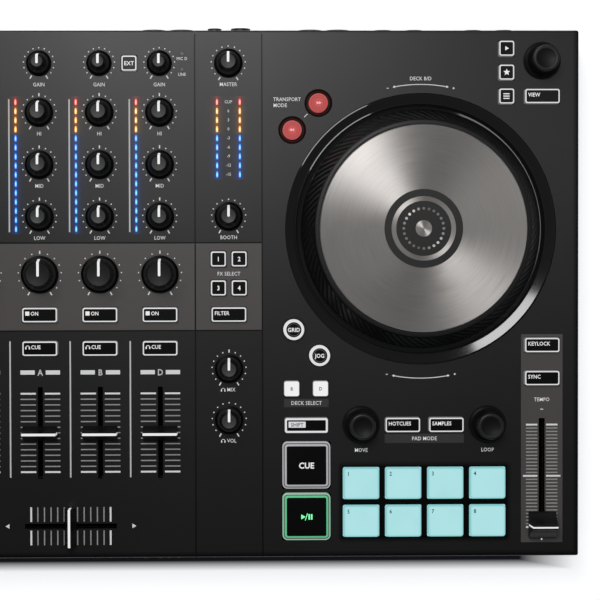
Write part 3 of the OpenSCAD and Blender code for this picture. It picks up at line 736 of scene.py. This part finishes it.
def deck_marks(side, sign):
    piece = Piece(f"{side}_deck_markings")
    marks = Marks(piece, PANEL_Z, PRINT)

    def at(dx):
        return sign * (DECK_X + dx * MM)

    def bar(dx0, dx1, y0, y1, material):
        a, b = sorted((at(dx0), at(dx1)))
        marks.bar(a, b, y0 * MM, y1 * MM, material)

    bar(-77.8, -52.5, -64.1, -59.4, PRINT_BAR)
    over = Marks(piece, PANEL_Z + PRINT_T * 0.7, PRINT)
    over.text("DECK SELECT", at(-65.1), -61.7 * MM, 2.2 * MM)
    bar(-20.6, 24.5, -84.7, -79.5, PRINT_BAR)
    over.text("PAD MODE", at(2), -82.1 * MM, 2.2 * MM)
    for name, word in (("move", "MOVE"), ("loop", "LOOP")):
        marks.text(word, centre(f"{side}_{name}_encoder").x, -88.6 * MM, LABEL)
    marks.text("TEMPO", at(69), -60.1 * MM, LABEL)
    marks.bar(at(69) - 0.8 * MM, at(69) + 0.8 * MM, -66.0 * MM, -65.5 * MM)
    marks.bar(at(69) - 0.6 * MM, at(69) + 0.6 * MM, -140.2 * MM, -139.7 * MM)
    marks.bar(at(69) - 0.25 * MM, at(69) + 0.25 * MM, -140.55 * MM, -139.35 * MM)
    slot_y = TEMPO.y + 27.5 * MM
    fader_scale(marks, at(69), slot_y, 31, 1.95 * MM, 2.5 * MM, 9.0 * MM, {0: 0.0, 15: 1.7 * MM, 30: 0.0})
    jog = (at(0), JOG_Y)
    ends = math.radians(10.6)
    for turn, reach in ((0.0, 81.9 * MM), (math.pi, 84.8 * MM)):
        marks.arc(jog[0], jog[1], reach, turn - ends, turn + ends, 0.45 * MM)
        for s in (-1, 1):
            a = turn + s * ends
            x, y = jog[0] + reach * math.sin(a), jog[1] + reach * math.cos(a)
            marks.triangle(x, y, 0.9 * MM, a + s * math.pi / 2)
            b = turn + s * (ends + math.radians(2.6))
            x, y = jog[0] + reach * math.sin(b), jog[1] + reach * math.cos(b)
            marks.bar(x - 0.6 * MM, x + 0.6 * MM, y - 0.2 * MM, y + 0.2 * MM)
            if (s > 0) == (turn == 0.0):
                marks.bar(x - 0.2 * MM, x + 0.2 * MM, y - 0.6 * MM, y + 0.6 * MM)
    marks.text("DECK B/D" if sign > 0 else "DECK A/C", jog[0], JOG_Y + 85.3 * MM, LABEL)
    align = "LEFT" if sign > 0 else "RIGHT"
    marks.text("TRANSPORT", at(-83.6), 110.6 * MM, LABEL, align)
    marks.text("MODE", at(-83.6), 107.2 * MM, LABEL, align)
    a, b = (Vector((at(dx), y * MM)) for dx, y in ((-64.15, 102.3), (-66.05, 100.45)))
    along = (b - a).normalized()
    across = Vector((along.y, -along.x)) * 0.22 * MM
    marks.fill([tuple(p) for p in (a + across, b + across, b - across, a - across)])
    return piece.make("housing")


# ---- Knobs, encoders and faders ----

def shaft(piece, node, top):
    """The shaft or stem under a control, down to where the CAD one ends."""
    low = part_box(node)[0].z
    piece.lathe([(3 * MM, low), (3 * MM, top)], KNOB_BLACK, count=24)


KNOB_TOPS = {"gain": 3.1 * MM, "effect": 6.5 * MM}
POINTER_REACH = {"gain": (-1.2 * MM, 4.6 * MM), "effect": (-1.1 * MM, 8.7 * MM)}


def knob(node, body):
    """Conical knob with a crisp dark foot, a dished flat top and a white pointer from its middle."""
    low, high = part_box(node)
    base = (high.x - low.x) / 2
    kind = node.split("_")[0]
    top = KNOB_TOPS.get(kind, 3.95 * MM)
    z0, z1 = PANEL_Z + 0.6 * MM, high.z
    piece = Piece(node + "_cap", (centre(node).x, centre(node).y, 0))
    rise = z1 - z0
    shoulder = top + 0.45 * MM
    foot = offsets(base, z0, (-0.4, 0), (-0.05, 0.2), (0, 0.6), (-0.15, 1.2), (-1.2, 1.6), (-1.35, 1.5))
    flank_low = base - 1.4 * MM
    flank = []
    for i in range(9):
        t = i / 8
        bow = math.sin(math.pi * t) * 0.35 * MM
        flank.append((flank_low + (shoulder - flank_low) * t - bow, z0 + 1.7 * MM + (rise - 2.7 * MM) * t))
    crown = offsets(top, z1, (0.35, -0.7), (0, -0.42), (-0.2, -0.42), (-0.45, -0.5)) + [(0, z1 - 0.52 * MM)]
    face = EFFECT_TOP if kind == "effect" else KNOB_TOP
    # The three skirt bands above the foot carry the painted light.
    materials = [KNOB_FOOT] * len(foot) + [PAINTED_LIGHT_SKIRT] * 3
    materials += [KNOB_BLACK] * (len(flank) - 2) + [face] * (len(crown) - 1)
    piece.lathe(foot + flank + crown, materials, count=72)
    reach = POINTER_REACH.get(kind, (-0.45 * MM, 6.15 * MM))
    pointer(piece, shoulder, flank_low, z0, z1, rise, reach)
    shaft(piece, node, z0 + 0.4 * MM)
    return piece.make(body, [node])


def pointer(piece, shoulder, flank_low, z0, z1, rise, reach):
    """White bar: flat on the top, then down the flank."""
    half = 0.68 * MM
    inner, outer = reach

    def height(y):
        if y <= shoulder:
            return z1 - 0.30 * MM
        t = (flank_low - y) / (flank_low - shoulder)
        return z0 + 1.7 * MM + (rise - 2.7 * MM) * t + 0.5 * MM

    spots = [inner, inner + 0.3 * MM, shoulder] + [shoulder + (outer - shoulder) * t for t in (0.5, 0.9, 1.0)]
    loops = []
    for y in spots:
        w = half * (0.7 if y in (spots[0], spots[-1]) else 1.0)
        z = height(y)
        loops.append([(-w, y, z), (-w, y, z - 0.8 * MM), (w, y, z - 0.8 * MM), (w, y, z)])
    piece.loft(loops, WHITE_LINE)


def encoder(node, body):
    """Knurled encoder on a round flange, with a smooth rim round a dished top."""
    low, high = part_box(node)
    piece = Piece(node + "_cap", (centre(node).x, centre(node).y, 0))
    flange = (high.x - low.x) / 2
    z0, z1 = PANEL_Z - 0.45 * MM, high.z
    steps = offsets(flange, z0, (-0.2, 0), (0, 0.2), (0, 0.75), (-0.4, 1.05))
    steps += offsets(0, z0, (9.0, 1.4), (8.7, 1.05), (7.5, 1.05))
    piece.lathe(steps, KNOB_BLACK, count=72)
    ribs = 48

    def knurl(angle, step):
        depth = 0.055 if 1 <= step <= 5 else 0.0
        return 1 - depth * (0.5 - 0.5 * math.cos(ribs * angle))

    body_low, body_high, foot = 8.35 * MM, 7.5 * MM, PANEL_Z + 0.7 * MM
    side = [(body_low + (body_high - body_low) * t, foot + (z1 - 1.9 * MM - foot) * t)
            for t in (0, 0.25, 0.5, 0.75, 1)]
    neck = [(body_low - 0.3 * MM, foot - 0.1 * MM)]
    crown = offsets(0, z1, (7.4, -1.5), (7.35, -0.9), (7.15, -0.35), (6.7, -0.03), (6.2, 0), (5.5, -0.12),
                    (5.25, -0.45), (3.6, -0.8), (1.8, -1.0), (0, -1.05))
    materials = [ENCODER_BLACK] * (len(side) + 1) + [ENCODER_TOP] * 6 + [ENCODER_BLACK] * 4
    piece.lathe(neck + side + crown, materials, count=ribs * 6, shape=knurl)
    shaft(piece, node, z0 + 0.4 * MM)
    return piece.make(body, [node])


def fader_cap(node, body, along_x, ridge, line):
    """Fader cap: a foot, concave flanks, a ridge to grip and a white line over it."""
    low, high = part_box(node)
    mid = centre(node)
    piece = Piece(node + "_cap", (mid.x, mid.y, 0))
    length, depth = (high.x - low.x, high.y - low.y) if along_x else (high.y - low.y, high.x - low.x)
    foot, top = PANEL_Z + 2 * MM, high.z
    rise = top - foot
    half = depth / 2
    section = offsets(half, foot, (-0.15, 0), (0, 0.2), (0, 1.3), (-0.3, 1.7))
    inner = ridge / 2 + 0.35 * MM
    for i in range(1, 8):
        t = i / 7
        section.append((inner + (half - 0.3 * MM - inner) * (1 - t) ** 2.2,
                        foot + 1.7 * MM + (rise - 2.6 * MM) * t))
    section += offsets(ridge / 2, top, (0, -0.35), (-0.3, -0.05))
    outline = [(-a, z) for a, z in section] + [(a, z) for a, z in reversed(section)]
    taper = 0.9 * MM if depth > 12 * MM else 0.25 * MM
    bevel = 0.35 * MM
    loops = []
    for u, is_end in ((-1, True), (-1, False), (1, False), (1, True)):
        loop = []
        for a, z in outline:
            along = length / 2 - taper * (z - foot) / rise
            if is_end:
                a, z = max(bevel - half, min(half - bevel, a)), min(z, top - 0.05 * MM - bevel)
            else:
                along -= bevel
            loop.append((u * along, a, z) if along_x else (-a, u * along, z))
        loops.append(loop)
    piece.loft(loops, FADER_BLACK)
    white_line(piece, length, line, foot, top, rise, taper, along_x)
    stem_low = low.z
    w, d = 0.6 * MM, 2.25 * MM
    stem = [(-w, -d), (w, -d), (w, d), (-w, d)] if along_x else [(-d, -w), (d, -w), (d, w), (-d, w)]
    piece.prism(stem, stem_low, foot + 0.5 * MM, FADER_BLACK)
    return piece.make(body, [node], sharp=40.0)


def white_line(piece, length, line, foot, top, rise, taper, along_x):
    """Line over the ridge and down both leaning ends."""
    half, proud, bevel = line / 2, 0.03 * MM, 0.35 * MM

    def reach(z):
        return length / 2 - taper * (z - foot) / rise + proud

    low, shoulder = foot + 1.7 * MM, top - bevel - 0.05 * MM
    path = [(reach(low), low), (reach(shoulder), shoulder), (reach(top) - bevel, top)]
    path = [(-u, z) for u, z in path] + [(u, z) for u, z in reversed(path)]
    loops = []
    for u, z in path:
        inward = math.copysign(0.4 * MM, u)
        loop = [(u, -half, z), (u, half, z),
                (u - inward, half, z - 0.4 * MM), (u - inward, -half, z - 0.4 * MM)]
        loops.append([(a, b, c) if along_x else (-b, a, c) for a, b, c in loop])
    piece.loft(loops, WHITE_LINE)


# ---- Buttons and pads ----

def hidden_parts(piece, mid, low, cap_size, material=KNOB_FOOT, is_round=False):
    """The flange under the panel and the stem down to the switch. Unless another material is given they are
    near-black, painted shade for the gap round the cap.
    """
    z0, z1 = PANEL_Z - 4.6 * MM, PANEL_Z - 2.9 * MM
    if is_round:
        radius = cap_size.x / 2 + FLANGE_LIP
        piece.lathe([(radius, z0), (radius, z1)], material, (mid.x, mid.y), 32)
    else:
        outline = rounded(cap_size.x + 2 * FLANGE_LIP, cap_size.y + 2 * FLANGE_LIP, 1.2 * MM, 3)
        piece.prism([(mid.x + x, mid.y + y) for x, y in outline], z0, z1, material)
    piece.lathe([(2 * MM, low), (2 * MM, z0 + 0.1 * MM)], material, (mid.x, mid.y), 20)


def rim_cap(piece, mid, area, top, rim, rims=(BUTTON_RIM, BUTTON_RIM), face=CAP_TOP, step=0.12 * MM):
    """Cap with a lit bevelled rim round a set-back face."""
    def outline(inset):
        return rounded(area.x - 2 * inset, area.y - 2 * inset, 1.3 * MM - inset * 0.6, 5)

    foot = PANEL_Z - 3.0 * MM
    steps = [(0.0, foot)] + offsets(0, top, (0, -0.6), (0.12, -0.25), (0.3, -0.05), (0.45, 0))
    steps += [(rim - 0.1 * MM, top), (rim, top - step), (rim + 0.05 * MM, top - step)]
    materials = [RIM_SIDE] * 3 + [rims[0], rims[1]] + [face] * 3
    piece.steps(outline, steps, materials, (mid.x, mid.y))


def corner_text(marks, mid, area, words, shift=0.0):
    """Lettering in the upper-left of a cap."""
    x, y = mid.x - area.x / 2 + 1.9 * MM + shift, mid.y + area.y / 2 - 3.4 * MM
    marks.text(words, x, y, 2.2 * MM, "LEFT", bold=0.02)


def star(marks, x, y, reach):
    turns = [(reach * (0.45 if i % 2 else 1.0), i * math.pi / 5) for i in range(10)]
    marks.fill([(x + r * math.sin(a), y + r * math.cos(a)) for r, a in turns][::-1])


def mixer_buttons():
    piece = Piece("mixer_button_caps")
    found = caps("mixer_buttons")
    names = ["ext", "fx1", "fx2", "fx3", "fx4"] + ["on"] * 4 + ["filter"] + ["cue"] * 4
    for (mid, area), name in zip(found, names):
        top = mid.z + area.z / 2
        rim_cap(piece, mid, area, top, 1.0 * MM)
        hidden_parts(piece, mid, mid.z - area.z / 2, area)
        marks = Marks(piece, top - 0.12 * MM, BUTTON_TEXT)
        if name == "ext":
            marks.text("EXT", mid.x, mid.y, 2.3 * MM, bold=0.02, narrow=0.95)
        elif name.startswith("fx"):
            marks.text(name[2], mid.x, mid.y, 2.6 * MM, bold=0.03)
        elif name == "filter":
            corner_text(marks, mid, area, "FILTER")
        elif name == "on":
            corner_text(marks, mid, area, "ON", shift=3.0 * MM)
            x, y = mid.x - area.x / 2 + 3.05 * MM, mid.y + area.y / 2 - 3.4 * MM
            marks.bar(x - 1.15 * MM, x + 1.15 * MM, y - 1.15 * MM, y + 1.15 * MM)
        else:
            corner_text(marks, mid, area, "CUE", shift=3.2 * MM)
            marks.headphones(mid.x - area.x / 2 + 3.15 * MM, mid.y + area.y / 2 - 3.4 * MM, 2.4 * MM)
    return piece.make("mixer_buttons", ["mixer_buttons"])


DECK_CAPS = ("play", "star", "list", "view", "forward", "reverse", "grid", "keylock", "jog", "sync",
             "select_1", "select_2", "shift", "hotcues", "samples")
SELECT_LETTERS = {("left", "select_1"): "C", ("left", "select_2"): "A",
                  ("right", "select_1"): "B", ("right", "select_2"): "D"}


def deck_buttons(side, sign):
    piece = Piece(f"{side}_deck_button_caps")
    for (mid, area), name in zip(caps(f"{side}_deck_buttons", sign), DECK_CAPS):
        top, low = mid.z + area.z / 2, mid.z - area.z / 2
        marks = Marks(piece, top - 0.12 * MM, BUTTON_TEXT)
        if name in ("forward", "reverse", "grid", "jog"):
            round_cap(piece, marks, mid, area, top, name)
            hidden_parts(piece, mid, low, area, is_round=True)
            continue
        hidden_parts(piece, mid, low, area)
        if name.startswith("select"):
            rim_cap(piece, mid, area, top, 1.0 * MM, (BUTTON_FULL, BUTTON_FULL), BUTTON_FULL, 0.06 * MM)
            over = Marks(piece, top - 0.06 * MM, PRINT_BAR)
            letter = SELECT_LETTERS[(side, name)]
            over.text(letter, mid.x, mid.y, 2.0 * MM, bold=0.02)
            continue
        rim_cap(piece, mid, area, top, (1.45 if name == "shift" else 1.0) * MM)
        if name == "play":
            marks.triangle(mid.x - 0.15 * MM, mid.y, 1.4 * MM, math.pi / 2)
        elif name == "star":
            star(marks, mid.x, mid.y, 2.0 * MM)
        elif name == "list":
            for i in range(3):
                y = mid.y + (i - 1) * 1.3 * MM
                marks.bar(mid.x - 1.9 * MM, mid.x + 1.6 * MM, y - 0.28 * MM, y + 0.28 * MM)
        elif name == "shift":
            x, y = mid.x - area.x / 2 + 2.3 * MM, mid.y + area.y / 2 - 3.9 * MM
            marks.bar(x, x + 9.65 * MM, y - 1.7 * MM, y + 1.7 * MM, SHIFT_BOX)
            over = Marks(piece, top - 0.12 * MM + PRINT_T * 0.7, KNOB_TOP)
            over.text("SHIFT", x + 4.83 * MM, y, 2.1 * MM, bold=0.02, narrow=0.95)
        else:
            corner_text(marks, mid, area, name.upper())
    return piece.make(f"{side}_deck_buttons", [f"{side}_deck_buttons"])


def round_cap(piece, marks, mid, area, top, name):
    """Round cap: red with fine rings, or black in a lit ring."""
    red = name in ("forward", "reverse")
    radius = area.x / 2 - (0.5 * MM if red else 0.0)
    rim = RED_CAP if red else BUTTON_RIM
    profile = [(radius, PANEL_Z - 3.0 * MM)]
    profile += offsets(radius, top, (0, -0.8), (-0.25, -0.3), (-0.7, 0), (-1.0 if red else -1.6, 0))
    materials = [rim] * 4
    low = top - 0.12 * MM
    if red:
        profile += offsets(radius, low, (-1.1, 0), (-1.5, 0), (-1.6, 0.12), (-2.1, 0.12), (-2.2, 0),
                           (-2.6, 0), (-2.7, 0)) + [(0, low)]
        materials += [RED_RING, RED_RING, RED_CAP, RED_CAP, RED_RING, RED_RING, RED_CAP, RED_CAP, RED_CAP]
    else:
        profile += [(radius - 1.65 * MM, low)]
        profile += offsets(0, low, (3.6, 0), (3.55, 0.12), (3.35, 0.12), (3.3, 0), (0, 0))
        materials += [CAP_TOP, CAP_TOP, RIM_DARK, RIM_DARK, CAP_TOP, CAP_TOP, CAP_TOP]
    piece.lathe(profile, materials, (mid.x, mid.y), 48)
    if red:
        turn = -math.pi / 2 if name == "reverse" else math.pi / 2
        for s in (-0.55, 0.75):
            marks.triangle(mid.x + s * MM * math.sin(turn), mid.y, 1.0 * MM, turn, RED_LIGHT)
    else:
        marks.text(name.upper(), mid.x, mid.y, 2.3 * MM, bold=0.03)


def transport(side, name):
    """Large cue or play button with two lit rims."""
    node = f"{side}_{name}_button"
    low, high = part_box(node)
    mid, lip = centre(node), Vector((2, 2, 0)) * FLANGE_LIP
    area = high - low - lip
    piece = Piece(node + "_cap")
    top = high.z
    inner = GREEN_RIM if name == "play" else RIM_GREY

    def outline(inset):
        return rounded(area.x - 2 * inset, area.y - 2 * inset, 2.8 * MM - inset * 0.8, 6)

    foot = PANEL_Z - 3.0 * MM
    steps = [(0.0, foot)] + offsets(0, top, (0, -1.1), (0.15, -0.75), (0.65, -0.65), (0.8, -0.9), (1.1, -0.9),
                                    (1.25, -0.75), (2.15, -0.05), (2.25, 0), (2.35, 0), (2.45, -0.1))
    line = GREEN_LINE if name == "play" else RIM_GREY
    materials = [line, line, line, RIM_DARK, RIM_DARK, RIM_DARK, inner, inner, inner, CAP_TOP, CAP_TOP]
    piece.steps(outline, steps, materials, (mid.x, mid.y))
    hidden_parts(piece, mid, low.z, area)
    marks = Marks(piece, top - 0.1 * MM, BUTTON_TEXT)
    if name == "cue":
        marks.text("CUE", mid.x, mid.y, 3.35 * MM, bold=0.04, narrow=0.95)
    else:
        marks = Marks(piece, top - 0.1 * MM, GREEN_TEXT)
        marks.triangle(mid.x - 2.2 * MM, mid.y, 1.65 * MM, math.pi / 2)
        marks.dash(mid.x - 0.75 * MM, mid.y - 2.0 * MM, math.radians(18), 0, 4.2 * MM, 0.45 * MM)
        for s in (1.5, 2.9):
            marks.bar(mid.x + (s - 0.45) * MM, mid.x + (s + 0.45) * MM, mid.y - 1.55 * MM, mid.y + 1.55 * MM)
    return piece.make(node, [node])


def pads(side):
    """Eight silicone pads with soft shoulders, numbered from the rear left."""
    node = f"{side}_pads"
    piece = Piece(f"{side}_pad_caps")
    for number, (mid, area) in enumerate(caps(node), 1):
        top, low = mid.z + area.z / 2, mid.z - area.z / 2

        def outline(inset):
            return rounded(area.x - 2 * inset, area.y - 2 * inset, 1.6 * MM - inset * 0.4, 6)

        steps = [(0.0, PANEL_Z - 3.0 * MM)]
        steps += offsets(0, top, (0, -1.3), (0.1, -0.8), (0.35, -0.4), (0.8, -0.14), (1.5, -0.04), (3.0, 0))
        piece.steps(outline, steps, PAD_GLOW, (mid.x, mid.y))
        hidden_parts(piece, mid, low, area, PAD_GLOW)
        marks = Marks(piece, top - 0.04 * MM, PAD_DIGIT)
        marks.text(str(number), mid.x - area.x / 2 + 2.7 * MM, mid.y + area.y / 2 - 3.2 * MM, 2.3 * MM,
                   bold=0.02)
    return piece.make(node, [node], sharp=50.0)


# ---- Jog wheels ----

JOG_RIBS = 92


def jog_platter(side):
    """Ribbed cone round the disc: slanted ribs between a plain foot and a plain rim."""
    node = f"{side}_jog_platter"
    low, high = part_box(node)
    mid = centre(f"{side}_jog_plate")
    plate = size(f"{side}_jog_plate").x / 2
    base = (high.x - low.x) / 2
    piece = Piece(f"{side}_jog_wheel_rim", (mid.x, mid.y, 0))
    z0, z1 = PANEL_Z - 3.5 * MM, high.z
    rim, waist, knee = plate + 2.6 * MM, plate + 3.0 * MM, z1 - 2.6 * MM
    rows = 14
    profile = offsets(base, z0, (-5, 0), (-0.3, 0), (0, 0.3), (0, 5.2))
    first = len(profile)
    for i in range(rows + 1):
        t = i / rows
        profile.append((base + (waist - base) * (0.03 + 0.94 * t),
                        z0 + 6.0 * MM + (knee - z0 - 6.6 * MM) * t))
    last = len(profile) - 1
    profile += [(waist - 0.1 * MM, knee + 0.1 * MM), (rim, z1 - 0.35 * MM)]
    profile += offsets(plate, z1, (1.4, 0), (1.0, 0), (0.9, -0.5), (0.1, -0.5), (0.1, -1.15))
    profile += [(0, z1 - 1.15 * MM)]
    materials = [JOG_RUBBER] * (last + 1) + [JOG_RIM] * 3 + [JOG_RUBBER] * 5

    def rib(angle, step):
        if not first < step < last:
            return 1.0
        turn = 2.6 * (step - first) / rows
        wave = math.cos(JOG_RIBS * angle + turn * math.tau)
        return 1 - 0.010 * (0.5 - 0.5 * wave)

    piece.lathe(profile, materials, count=JOG_RIBS * 8, shape=rib)
    piece.lathe([(5 * MM, low.z), (5 * MM, PANEL_Z - 2 * MM), (8 * MM, PANEL_Z - 2 * MM),
                 (8 * MM, z0 + 3 * MM)],
                JOG_RUBBER, count=32)
    return piece.make(f"{side}_jog_wheel", [node], sharp=60.0)


def jog_plate(side):
    """Brushed disc with a fine bevelled edge and a plain dark centre mark."""
    node = f"{side}_jog_plate"
    low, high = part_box(node)
    mid = centre(node)
    radius = (high.x - low.x) / 2
    piece = Piece(f"{side}_jog_disc", (mid.x, mid.y, 0))
    face = high.z - 0.06 * MM
    brushed = brushed_disc(f"{side}_brushed_disc", mid)
    profile = offsets(radius, low.z, (-0.1, 0), (0, 0.1))
    profile += offsets(radius, face, (0, -0.39), (-0.4, 0), (-0.8, 0))
    piece.lathe(profile + [(30 * MM, face), (0, face)], brushed, count=160)
    disc_mark(piece, face, brushed)
    return piece.make(f"{side}_jog_wheel", [node])


def jog_trays():
    """Glossy ring, bowl and bush of each jog wheel. The ring falls inward from its edge to a lip."""
    low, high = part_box("jog_trays")
    outer = high.x - DECK_X
    edge = outer - 2.1 * MM
    lip = size("right_jog_platter").x / 2 + 2.7 * MM
    bore = 5.05 * MM
    under = PANEL_Z - 2.5 * MM
    section = [(bore, low.z), (9 * MM, low.z), (9 * MM, under - 6.5 * MM)]
    section += offsets(lip, under, (2, -6.5), (2, -2.6)) + offsets(outer, under, (0, -2.6), (0, -0.1))
    section += [(edge, under - 0.1 * MM)] + offsets(edge, PANEL_Z, (0, -0.25), (-0.6, 0))
    section += offsets(lip, PANEL_Z, (1.1, -1.26), (0.5, -1.01), (0, -1.36)) + [(lip, under - 4.5 * MM)]
    section += offsets(0, under, (9, -4.5), (9, 0.1)) + [(bore, under + 0.1 * MM)]
    piece = Piece("jog_rings")
    for side, sign in SIDES:
        piece.turned_ring(section, GLOSS, (sign * DECK_X, JOG_Y), 240)
    return piece.make("housing", ["jog_trays"], sharp=15.0)


def disc_mark(piece, z, brushed):
    """Generic centre mark: a dark ring, a dark label with a circle of dots, and a bright hub."""
    low, high = z - 0.02 * MM, z + 0.05 * MM
    inner, outer = 18.0 * MM, 22.0 * MM
    piece.turned_ring([(inner, low), (outer, low), (outer, high), (inner, high)], DISC_DARK)
    piece.lathe([(15.4 * MM, low), (15.4 * MM, high)], DISC_DARK, count=96)
    dots = 24
    for i in range(dots):
        a = i * math.tau / dots
        spot = (11.2 * MM * math.cos(a), 11.2 * MM * math.sin(a))
        piece.lathe([(0.8 * MM, low), (0.8 * MM, high + 0.01 * MM)], brushed, spot, 14)
    piece.lathe([(4.6 * MM, low), (4.6 * MM, high + 0.01 * MM)], brushed, count=48)


# ---- Build ----

def dress_cad():
    """Materials for the CAD pieces that stay."""
    looks = {"top_panel": PANEL, "bottom_case": CASE_PLASTIC, "rubber_feet": RUBBER,
             "case_screws": STEEL, "circuit_boards": BOARD, "slide_pots": SLIDE_POT, "rotary_pots": POT_METAL,
             "meter_lenses": METER_LIGHT, "sockets": SOCKET_BLACK}
    for node, material in looks.items():
        mesh = frame["nodes"][node].data
        mesh.materials.clear()
        mesh.materials.append(material)


def body_of(node):
    for body, members in frame["record"]["behaviour"]["bodies"].items():
        if node in members:
            return body


def build():
    dress_cad()
    for row in ROWS:
        for channel in CHANNELS:
            node = f"{row}_knob_{channel}"
            knob(node, body_of(node))
    for node in ("master_knob", "booth_knob", "cue_mix_knob", "cue_volume_knob"):
        knob(node, body_of(node))
    for channel in CHANNELS:
        node = f"channel_fader_{channel}"
        fader_cap(node, body_of(node), True, 1.6 * MM, 1.4 * MM)
    fader_cap("crossfader", body_of("crossfader"), False, 1.6 * MM, 1.3 * MM)
    mixer_buttons()
    mixer_marks()
    jog_trays()
    for side, sign in SIDES:
        for name in ("browse", "move", "loop"):
            node = f"{side}_{name}_encoder"
            encoder(node, body_of(node))
        node = f"{side}_tempo_fader"
        fader_cap(node, body_of(node), True, 3.0 * MM, 0.9 * MM)
        for name in ("cue", "play"):
            transport(side, name)
        pads(side)
        deck_buttons(side, sign)
        jog_platter(side)
        jog_plate(side)
        deck_marks(side, sign)


# ---- Stage, light and camera ----

def area_light(name, place, aim, width, height, radiance):
    data = bpy.data.lights.new(name, "AREA")
    data.shape, data.size, data.size_y = "RECTANGLE", width, height
    data.energy = radiance * math.pi * width * height
    made = bpy.data.objects.new(name, data)
    made.location = place
    made.rotation_euler = (Vector(aim) - Vector(place)).to_track_quat("-Z", "Y").to_euler()
    bpy.context.scene.collection.objects.link(made)


def stage():
    bm = bmesh.new()
    bmesh.ops.create_grid(bm, x_segments=24, y_segments=24, size=FLOOR_REACH)
    mesh = bpy.data.meshes.new("floor")
    bm.to_mesh(mesh)
    bm.free()
    mesh.materials.append(floor_material())
    floor = bpy.data.objects.new("floor", mesh)
    bpy.context.scene.collection.objects.link(floor)
    bpy.context.scene.world = sky()
    for name, lamp in LAMPS.items():
        area_light(name, *lamp)


FLOOR_REACH = 4.0
# Each lamp: its place, the point it faces, its width and height, all in metres, and its radiance.
LAMPS = {
    "key": ((-0.043, 0.458, 1.30), (0.229, -0.018, 0.037), 0.33, 0.50, 8.8),
    "side": ((-0.47, 0.92, 1.05), (0.126, 0.091, 0.038), 0.80, 0.25, 4.2),
    "right": ((0.50, 0.16, 1.35), (0.215, 0.070, 0.037), 0.24, 0.24, 2.2),
}
SKY_LOW, SKY_HIGH = 0.36, 0.09
SKY_FADE_FROM, SKY_FADE_TO = 0.30, 0.62
SKY_TINT = (0.96, 0.98, 1.0, 1.0)


def sky():
    """Bright low down all round and dark overhead."""
    world = bpy.data.worlds.new("studio")
    world.use_nodes = True
    tree = world.node_tree
    up = tree.nodes.new("ShaderNodeSeparateXYZ")
    tree.links.new(tree.nodes.new("ShaderNodeTexCoord").outputs["Generated"], up.inputs[0])
    fall = tree.nodes.new("ShaderNodeMapRange")
    tree.links.new(up.outputs[2], fall.inputs["Value"])
    span = {"From Min": SKY_FADE_FROM, "From Max": SKY_FADE_TO, "To Min": SKY_LOW, "To Max": SKY_HIGH}
    for key, value in span.items():
        fall.inputs[key].default_value = value
    shader = tree.nodes["Background"]
    shader.inputs["Color"].default_value = SKY_TINT
    tree.links.new(fall.outputs["Result"], shader.inputs["Strength"])
    return world


VIEW_WIDTH = 340.4 * MM
VIEW_DISTANCE = 1050 * MM
VIEW_MIDDLE = Vector((111.4 * MM, -3.1 * MM))
SENSOR = 36.0
SHIFT = 0.045
TILT_ACROSS, TILT_BACK, ROLL = math.radians(1.0), math.radians(1.19), math.radians(0.13)


def camera():
    """Looks straight down on the right two thirds of the object, with a small shift and tilt."""
    data = bpy.data.cameras.new("camera")
    data.sensor_width, data.lens = SENSOR, SENSOR * VIEW_DISTANCE / VIEW_WIDTH
    data.shift_x = SHIFT
    made = bpy.data.objects.new("camera", data)
    foot_x = VIEW_MIDDLE.x - SHIFT * VIEW_WIDTH - VIEW_DISTANCE * math.tan(TILT_ACROSS)
    foot_y = VIEW_MIDDLE.y + VIEW_DISTANCE * math.tan(TILT_BACK)
    made.location = (foot_x, foot_y, PANEL_Z + VIEW_DISTANCE)
    made.rotation_euler = (-TILT_BACK, -TILT_ACROSS, -ROLL)
    bpy.context.scene.collection.objects.link(made)
    bpy.context.scene.camera = made


camera()
build()
stage()
bpy.context.scene.view_settings.view_transform = "Standard"
